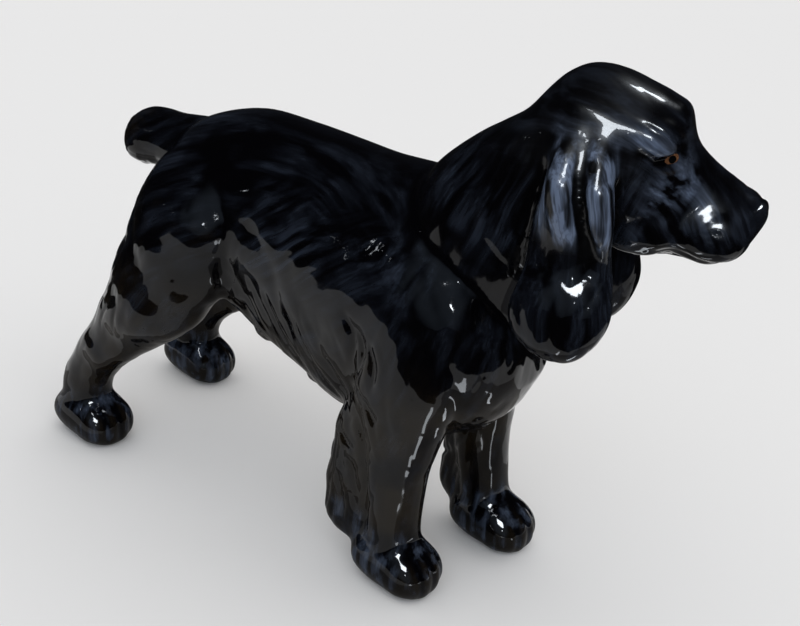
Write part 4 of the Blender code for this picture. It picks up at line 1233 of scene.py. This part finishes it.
def grain_of(tree, place, scale, detail=2.0, distortion=0.0):
    """Plain noise at a place. Gives its value socket."""
    node = add_node(tree.nodes, "ShaderNodeTexNoise", Scale=scale, Detail=detail, Distortion=distortion)
    tree.links.new(place, node.inputs["Vector"])
    return node.outputs["Fac"]


def hair_strokes_group():
    """Brushed hairs lying along one direction: fine strands in broad soft strokes, in wavering patches."""
    tree = bpy.data.node_groups.new("hair strokes", "ShaderNodeTree")
    for name, kind in (("Place", "NodeSocketVector"), ("Along", "NodeSocketVector"), ("Width", "NodeSocketFloat"),
                       ("Length", "NodeSocketFloat"), ("Patch Size", "NodeSocketFloat"), ("Fill", "NodeSocketFloat")):
        tree.interface.new_socket(name, in_out="INPUT", socket_type=kind)
    for name in ("Strands", "Patches"):
        tree.interface.new_socket(name, in_out="OUTPUT", socket_type="NodeSocketFloat")
    start = tree.nodes.new("NodeGroupInput").outputs
    end = tree.nodes.new("NodeGroupOutput").inputs
    waver = add_node(tree.nodes, "ShaderNodeTexNoise", Scale=70.0, Detail=1.0)
    tree.links.new(start["Place"], waver.inputs["Vector"])
    swing = vector_math(tree, "SUBTRACT", waver.outputs["Color"], (0.5, 0.5, 0.5))
    swing = vector_math(tree, "MULTIPLY", swing.outputs[0], (0.0035, 0.0035, 0.0035))
    place = vector_math(tree, "ADD", start["Place"], swing.outputs[0])
    run = vector_math(tree, "DOT_PRODUCT", place.outputs[0], start["Along"]).outputs["Value"]
    straight = vector_math(tree, "SCALE", start["Along"])
    tree.links.new(run, straight.inputs["Scale"])
    across = vector_math(tree, "SUBTRACT", place.outputs[0], straight.outputs[0])
    thin = vector_math(tree, "SCALE", across.outputs[0])
    tree.links.new(math_node(tree, "DIVIDE", 1.0, start["Width"]), thin.inputs["Scale"])
    long = vector_math(tree, "SCALE", start["Along"])
    tree.links.new(math_node(tree, "DIVIDE", run, start["Length"]), long.inputs["Scale"])
    combed_place = vector_math(tree, "ADD", thin.outputs[0], long.outputs[0]).outputs[0]
    strands = spread(tree, grain_of(tree, combed_place, 1.0, 2.0), 0.36, 0.76)
    broad = vector_math(tree, "SCALE", combed_place)
    broad.inputs["Scale"].default_value = 0.24
    sheaves = spread(tree, grain_of(tree, broad.outputs[0], 1.0, 3.0), 0.38, 0.68)
    sized = vector_math(tree, "SCALE", start["Place"])
    tree.links.new(math_node(tree, "DIVIDE", 1.0, start["Patch Size"]), sized.inputs["Scale"])
    patches = spread(tree, grain_of(tree, sized.outputs[0], 1.0, 2.0), 0.36, 0.60)
    patches = math_node(tree, "ADD", patches, start["Fill"], clamp=True)
    tree.links.new(strands, end["Strands"])
    tree.links.new(math_node(tree, "MULTIPLY", patches, sheaves), end["Patches"])
    return tree


def brushed(tree, group, place, along, width, length, patch, fill, fineness):
    """One lay of brushed hairs in a material: how pale each spot is."""
    node = tree.nodes.new("ShaderNodeGroup")
    node.node_tree = group
    node.inputs["Along"].default_value = Vector(along).normalized()
    node.inputs["Width"].default_value = width
    node.inputs["Length"].default_value = length
    node.inputs["Patch Size"].default_value = patch
    node.inputs["Fill"].default_value = fill
    tree.links.new(place, node.inputs["Place"])
    fine = math_node(tree, "ADD", math_node(tree, "MULTIPLY", node.outputs["Strands"], fineness), 1 - fineness)
    return math_node(tree, "MULTIPLY", fine, node.outputs["Patches"])


def blended(tree, share, first, second):
    """A colour or number between two, each a socket or a colour."""
    node = tree.nodes.new("ShaderNodeMix")
    node.data_type = "RGBA"
    tree.links.new(share, node.inputs["Factor"])
    for socket, value in ((node.inputs["A"], first), (node.inputs["B"], second)):
        if isinstance(value, bpy.types.NodeSocket):
            tree.links.new(value, socket)
        else:
            socket.default_value = (*value, 1.0)
    return node.outputs["Result"]


def marked(tree, name, output="Fac"):
    node = tree.nodes.new("ShaderNodeAttribute")
    node.attribute_name = name
    return node.outputs[output]


def glaze_material(name, group, slanting, hanging, width=0.00060, fill=0.0, patch=0.012, fineness=0.5):
    """Deep black glaze over brushed hair, which lies in arcs, slants or hangs as the marks say."""
    material, nodes, links, shader = new_material(name)
    tree = material.node_tree
    place = nodes.new("ShaderNodeTexCoord").outputs["Object"]
    in_arcs = brushed(tree, group, marked(tree, "arc", "Vector"), (0.0, 1.0, 0.0), width, 0.010, patch, fill, fineness)
    in_slant = brushed(tree, group, place, slanting, width, 0.009, patch, fill, fineness)
    in_fall = brushed(tree, group, place, hanging, width, 0.010, patch, fill, fineness)
    arcs, falls = marked(tree, "arcs"), marked(tree, "hanging")
    rest = math_node(tree, "SUBTRACT", math_node(tree, "SUBTRACT", 1.0, arcs), falls, clamp=True)
    strokes = math_node(tree, "ADD", math_node(tree, "MULTIPLY", in_arcs, arcs), math_node(tree, "MULTIPLY", in_fall, falls))
    strokes = math_node(tree, "ADD", strokes, math_node(tree, "MULTIPLY", in_slant, rest))
    # Pale colour: brushed hair, and on the paws painted soft highlights.
    light = math_node(tree, "MULTIPLY", strokes, marked(tree, "wisps_and_highlights"), clamp=True)
    edge = math_node(tree, "MULTIPLY", spread(tree, marked(tree, "crest"), 0.25, 0.9), 0.6)
    # Painted reflection: the thin mark lays a mottled brown over the lower body for the warm table mirrored in the
    # glaze; on crests the brown is the glaze thinning.
    low = math_node(tree, "MULTIPLY", marked(tree, "thin"), spread(tree, grain_of(tree, place, 120.0, 3.0), 0.30, 0.70))
    thin_glaze_and_painted_reflection = math_node(tree, "ADD", edge, low, clamp=True)
    colour = blended(tree, thin_glaze_and_painted_reflection, colours().black, colours().thin)
    colour = blended(tree, light, colour, colours().hair)
    colour = blended(tree, spread(tree, marked(tree, "bare"), 0.55, 0.85), colour, colours().clay)
    links.new(colour, shader.inputs["Base Color"])
    shader.inputs["Specular IOR Level"].default_value = 0.13
    shader.inputs["Coat Weight"].default_value = 0.28
    shader.inputs["Coat Roughness"].default_value = 0.03
    ripple = grain_of(tree, place, 500.0, 2.0)
    satin = math_node(tree, "ADD", math_node(tree, "MULTIPLY", marked(tree, "satin"), 0.27), 0.04)
    links.new(math_node(tree, "ADD", math_node(tree, "MULTIPLY", ripple, 0.06), satin), shader.inputs["Roughness"])
    bump = add_node(nodes, "ShaderNodeBump", Strength=0.10, Distance=0.00010)
    links.new(math_node(tree, "ADD", strokes, math_node(tree, "MULTIPLY", ripple, 0.4)), bump.inputs["Height"])
    links.new(bump.outputs["Normal"], shader.inputs["Normal"])
    return material


class FIGURINE_OT_body(bpy.types.Operator):
    """Sculpts torso, tail and legs, combs their coat and glazes them"""
    bl_idname = "figurine.body"
    bl_label = "Body Castings"

    def execute(self, context):
        global kiln
        grain = millimetres(sizes().body_grain)
        skin = fused(whole_clay(), grain, millimetres(sizes().softness))
        combed(skin, [comb_neck, comb_trunk, comb_legs, part_toes], mark_trunk)
        trim_soles(skin)
        kiln = Kiln(skin)
        regions = saw_regions()
        group = hair_strokes_group()
        glaze = glaze_material("trunk_glaze", group, (-0.78, 0.0, -0.62), (-0.32, 0.0, -0.95))
        leg_glaze = glaze_material("leg_glaze", group, (-0.3, 0.0, -0.95), (0.0, 0.0, -1.0), patch=0.005)
        for name in ("tail", "foreleg_right", "foreleg_left", "hindleg_right", "hindleg_left"):
            cut = sawn(skin, keep=regions[name])
            carry_finish(cut, skin)
            if name == "tail":
                kiln.fire("tail_coat", cut, glaze, name)
            else:
                kiln.fire(name + "_coat", cut, leg_glaze, name, "leg_glaze")
        cut = sawn(skin, lose=list(regions.values()))
        carry_finish(cut, skin)
        kiln.fire("torso_coat", cut, glaze, "torso")
        return {"FINISHED"}


class FIGURINE_OT_head(bpy.types.Operator):
    """Sculpts head and ears, combs their coat and glazes them"""
    bl_idname = "figurine.head"
    bl_label = "Head and Ears"

    def execute(self, context):
        grain = millimetres(sizes().head_grain)
        skin = fused(front_clay(), grain, millimetres(sizes().softness))
        combed(skin, [comb_neck, comb_ears, comb_face], mark_head)
        regions = saw_regions()
        group = bpy.data.node_groups["hair strokes"]
        ear_glaze = glaze_material("ear_glaze", group, (-0.8, 0.0, -0.6), (0.18, 0.0, -0.98), fill=0.6, fineness=0.65)
        glaze = glaze_material("head_glaze", group, (-0.78, 0.0, -0.62), (-0.32, 0.0, -0.95), fill=0.25)
        for side in SIDES:
            cut = sawn(skin, keep=regions["ear_" + side])
            carry_finish(cut, skin)
            kiln.fire("ear_" + side + "_coat", cut, ear_glaze, "ear_" + side)
        cut = sawn(skin, keep=regions["head"], lose=[regions["ear_right"], regions["ear_left"]])
        carry_finish(cut, skin)
        kiln.fire("head_coat", cut, glaze, "head")
        return {"FINISHED"}


class FIGURINE_OT_eyes(bpy.types.Operator):
    """Sets both painted eyes into their sockets"""
    bl_idname = "figurine.eyes"
    bl_label = "Eyes"

    def execute(self, context):
        material = eye_material()
        for side, turn in SIDES.items():
            aim = Vector((0.58, 0.81 * turn, 0.05))
            gaze = turned(eye_centre(turn) + aim) - turned(eye_centre(turn))
            seat = turned(eye_centre(turn)) - EYE_SINK * gaze
            bm = bmesh.new()
            bmesh.ops.create_uvsphere(bm, u_segments=48, v_segments=32, radius=millimetres(sizes().eye_diameter) / 2)
            facing = gaze.to_track_quat("Z", "Y").to_matrix().to_4x4()
            bmesh.ops.transform(bm, matrix=Matrix.Translation(seat) @ facing, verts=bm.verts)
            mesh = mesh_of("eye", bm)
            outward = read_rows(mesh.vertices, "co") - np.array(seat)
            facing = outward @ np.array(gaze.normalized()) / np.linalg.norm(outward, axis=1)
            mesh.attributes.new("gaze", "FLOAT", "POINT").data.foreach_set("value", facing.astype(np.float32))
            mesh.shade_smooth()
            kiln.fire("eye_" + side, mesh, material)
        return {"FINISHED"}


def eye_material():
    """A black pupil in an orange-brown iris that darkens towards its rim, all under clear glaze."""
    material, nodes, links, shader = new_material("painted_eye")
    tree = material.node_tree
    gaze = marked(tree, "gaze")
    place = nodes.new("ShaderNodeTexCoord").outputs["Object"]
    flecks = spread(tree, grain_of(tree, place, 2600.0, 3.0), 0.35, 0.75)
    iris = blended(tree, flecks, colours().iris, [0.45 * shade for shade in colours().iris])
    rim = spread(tree, gaze, 0.74, 0.80)
    colour = blended(tree, rim, (0.004, 0.003, 0.004), iris)
    pupil = spread(tree, gaze, 0.935, 0.96)
    links.new(blended(tree, pupil, colour, (0.001, 0.001, 0.001)), shader.inputs["Base Color"])
    shader.inputs["Roughness"].default_value = 0.06
    shader.inputs["Specular IOR Level"].default_value = 0.4
    return material


class FIGURINE_OT_studio(bpy.types.Operator):
    """Sets the table, the lamps, the surroundings and the camera"""
    bl_idname = "figurine.studio"
    bl_label = "Studio"

    def execute(self, context):
        scene = context.scene
        settings = scene.studio_settings
        set_table(settings)
        set_backdrop(settings)
        sun = bpy.data.lights.new("daylight", "SUN")
        sun.energy = settings.daylight
        sun.angle = math.radians(150.0)
        daylight = bpy.data.objects.new("daylight", sun)
        daylight.rotation_euler = (math.radians(-6.0), math.radians(7.0), 0.0)
        daylight.visible_glossy = False
        scene.collection.objects.link(daylight)
        for name, azimuth, height, length, width, share, lights_room in SPARKS:
            lamp = add_lamp(name, from_direction(azimuth, height), length, width, share * settings.spark)
            lamp.rotation_euler = ((CAD_LOW + CAD_HIGH) / 2 - lamp.location).to_track_quat("-Z", "Y").to_euler()
            lamp.visible_diffuse = lights_room
        for name, end, azimuth, length, width, share in STRIPS:
            way = Vector((math.cos(math.radians(azimuth)), math.sin(math.radians(azimuth)), 0.0))
            middle = kiln.place @ Vector((*end, 0.5)) + 0.5 * length * way
            lamp = add_lamp(name, middle, length, width, share * settings.spark)
            lamp.rotation_euler = (math.pi, 0.0, math.radians(azimuth))
            lamp.visible_diffuse = False
        set_world(scene, settings)
        set_camera(scene)
        scene.view_settings.view_transform = "Standard"
        return {"FINISHED"}


# The lamps, a metre off: azimuth and height in degrees, length and width in metres, share of the spark,
# and whether it lights the room.
SPARKS = (
    ("flash", -60.0, 24.0, 0.034, 0.034, 2.2, True),
    ("window", -87.0, 56.0, 0.16, 0.035, 0.6, False),
    ("brow_lamp", -64.0, 44.0, 0.34, 0.24, 0.9, False),
    ("rear_lamp", 77.0, 55.0, 0.14, 0.10, 0.8, False),
    ("side_lamp", -126.0, 19.0, 0.008, 0.008, 0.8, False),
)

# The black cloths: a point of the near edge, in metres, and the way that the cloth runs from it, in degrees.
DARK_CLOTHS = (
    ("dark_cloth_front", (0.0, -0.145), -59.0),
    ("dark_cloth_right", (0.17, 0.0), -45.0),
    ("dark_cloth_left", (-0.20, 0.0), 180.0),
    ("dark_cloth_back", (0.0, 0.11), 90.0),
)

# Bright strips that the glaze mirrors from the table, in the sculpture's place: x and y of the near end,
# azimuth in degrees, length and width in metres, and share.
STRIPS = (
    ("strip_near", (58.0, -40.0), -38.0, 0.034, 0.009, 0.14),
    ("strip_far", (66.0, 6.0), -22.0, 0.034, 0.006, 0.12),
)


def from_direction(azimuth, height, distance=1.0):
    """The place that lies in a direction, in degrees, from the figurine's middle."""
    flat = math.cos(math.radians(height))
    way = Vector((flat * math.cos(math.radians(azimuth)), flat * math.sin(math.radians(azimuth)),
                  math.sin(math.radians(height))))
    return (CAD_LOW + CAD_HIGH) / 2 + distance * way


def add_lamp(name, place, length, width, radiance):
    """A flat lamp of a given brightness, seen only in the glaze."""
    data = bpy.data.lights.new(name, "AREA")
    data.shape = "RECTANGLE"
    data.size, data.size_y = length, width
    data.energy = radiance * math.pi * length * width
    data.color = (0.88, 0.94, 1.0)
    lamp = bpy.data.objects.new(name, data)
    lamp.location = place
    lamp.visible_camera = False
    bpy.context.scene.collection.objects.link(lamp)
    return lamp


def plain_sheet(name, low, high, height, colour):
    """A flat sheet between two corners, in metres, for the table and its cloths."""
    bm = bmesh.new()
    middle = Vector(((low[0] + high[0]) / 2, (low[1] + high[1]) / 2, height))
    stretch = Matrix.Diagonal(((high[0] - low[0]) / 2, (high[1] - low[1]) / 2, 1.0, 1.0))
    bmesh.ops.create_grid(bm, x_segments=2, y_segments=2, size=1.0, matrix=Matrix.Translation(middle) @ stretch)
    sheet = bpy.data.objects.new(name, mesh_of(name, bm))
    bpy.context.scene.collection.objects.link(sheet)
    material, nodes, links, shader = new_material(name)
    shader.inputs["Base Color"].default_value = (*colour, 1.0)
    shader.inputs["Roughness"].default_value = 1.0
    shader.inputs["Specular IOR Level"].default_value = 0.0
    sheet.data.materials.append(material)
    return sheet


def set_table(settings):
    """A pale table, black cloths that only the glaze sees where the real table ended, and a grey sheet under the dog
    that only the glaze sees, a painted shadow of the dog on the table.
    """
    plain_sheet("table", (-9.0, -9.0), (9.0, 9.0), CAD_LOW.z - 0.0002, settings.floor)
    for name, edge, facing in DARK_CLOTHS:
        cloth = plain_sheet(name, (0.0, -9.0), (9.0, 9.0), 0.0, (0.012, 0.012, 0.012))
        turn = Matrix.Rotation(math.radians(facing), 4, "Z")
        cloth.data.transform(Matrix.Translation((*edge, CAD_LOW.z - 0.0001)) @ turn)
        cloth.visible_camera = cloth.visible_diffuse = cloth.visible_shadow = False
    # Painted shadow: a grey sheet under the dog, seen only in the glaze, stands for the dog's shadow on the table and
    # darkens its reflection in the belly, chest and jaw.
    shade = plain_sheet("painted_shadow_sheet", (-0.12, -0.040), (0.13, 0.060), CAD_LOW.z - 0.0001, (0.30, 0.29, 0.28))
    shade.visible_camera = shade.visible_diffuse = shade.visible_shadow = False


def set_backdrop(settings):
    """A far pale wall all round, for low views."""
    bm = bmesh.new()
    bmesh.ops.create_cone(bm, segments=96, radius1=8.8, radius2=8.8, depth=12.0)
    bmesh.ops.reverse_faces(bm, faces=bm.faces[:])
    wall = bpy.data.objects.new("backdrop", mesh_of("backdrop", bm))
    bpy.context.scene.collection.objects.link(wall)
    material, nodes, links, shader = new_material("backdrop")
    shader.inputs["Base Color"].default_value = (0.0, 0.0, 0.0, 1.0)
    shader.inputs["Specular IOR Level"].default_value = 0.0
    shader.inputs["Emission Color"].default_value = (*settings.floor, 1.0)
    shader.inputs["Emission Strength"].default_value = 1.0
    wall.data.materials.append(material)
    wall.visible_diffuse = wall.visible_glossy = wall.visible_shadow = False


def set_world(scene, settings):
    """Dark surroundings with one soft bluish glow on the camera's side."""
    world = bpy.data.worlds.new("surroundings")
    world.use_nodes = True
    tree = world.node_tree
    way = tree.nodes.new("ShaderNodeTexCoord").outputs["Generated"]
    towards = (from_direction(GLOW_AZIMUTH, GLOW_HEIGHT) - from_direction(0.0, 0.0, 0.0)).normalized()
    near = vector_math(tree, "DOT_PRODUCT", way, tuple(towards)).outputs["Value"]
    glow = spread(tree, near, math.cos(math.radians(GLOW_REACH)), 1.0)
    background = tree.nodes["Background"]
    light = [settings.glow * shade for shade in (0.62, 0.78, 1.0)]
    tree.links.new(blended(tree, glow, (0.010, 0.011, 0.014), light), background.inputs["Color"])
    background.inputs["Strength"].default_value = 1.0
    scene.world = world


def set_camera(scene):
    """The photograph's view: yaw from +X, pitch above the horizon and roll, in radians."""
    ahead = Vector((math.cos(CAMERA_YAW) * math.cos(CAMERA_PITCH), math.sin(CAMERA_YAW) * math.cos(CAMERA_PITCH),
                    math.sin(CAMERA_PITCH)))
    right = ahead.cross(Vector((0, 0, 1))).normalized()
    right = Matrix.Rotation(-CAMERA_ROLL, 3, ahead) @ right
    up = right.cross(ahead)
    data = bpy.data.cameras.new("photo_camera")
    data.sensor_width = SENSOR_WIDTH
    data.lens = FOCAL_PIXELS / PHOTO_WIDTH * SENSOR_WIDTH
    data.clip_start = 0.01
    camera = bpy.data.objects.new("photo_camera", data)
    turn = Matrix((right, up, -ahead)).transposed().to_4x4()
    camera.matrix_world = Matrix.Translation(kiln.place @ Vector(CAMERA_PLACE)) @ turn
    scene.collection.objects.link(camera)
    scene.camera = camera


class FIGURINE_PT_panel(bpy.types.Panel):
    """Lists the figurine's steps and their settings"""
    bl_idname = "FIGURINE_PT_panel"
    bl_label = "Figurine"
    bl_space_type = "VIEW_3D"
    bl_region_type = "UI"
    bl_category = "Figurine"

    def draw(self, context):
        for step in STEPS:
            self.layout.operator(step.bl_idname)
        for group in (context.scene.coat_sizes, context.scene.glaze_colours, context.scene.studio_settings):
            box = self.layout.box()
            for name in group.__annotations__:
                box.prop(group, name)


GROUPS = (CoatSizes, GlazeColours, StudioSettings)
STEPS = (FIGURINE_OT_body, FIGURINE_OT_head, FIGURINE_OT_eyes, FIGURINE_OT_studio)


def register():
    for cls in (*GROUPS, *STEPS, FIGURINE_PT_panel):
        bpy.utils.register_class(cls)
    bpy.types.Scene.coat_sizes = PointerProperty(type=CoatSizes)
    bpy.types.Scene.glaze_colours = PointerProperty(type=GlazeColours)
    bpy.types.Scene.studio_settings = PointerProperty(type=StudioSettings)


def unregister():
    del bpy.types.Scene.studio_settings
    del bpy.types.Scene.glaze_colours
    del bpy.types.Scene.coat_sizes
    for cls in reversed((*GROUPS, *STEPS, FIGURINE_PT_panel)):
        bpy.utils.unregister_class(cls)


def main():
    register()
    bpy.ops.figurine.body()
    bpy.ops.figurine.head()
    bpy.ops.figurine.eyes()
    bpy.ops.figurine.studio()


if __name__ == "__main__":
    main()
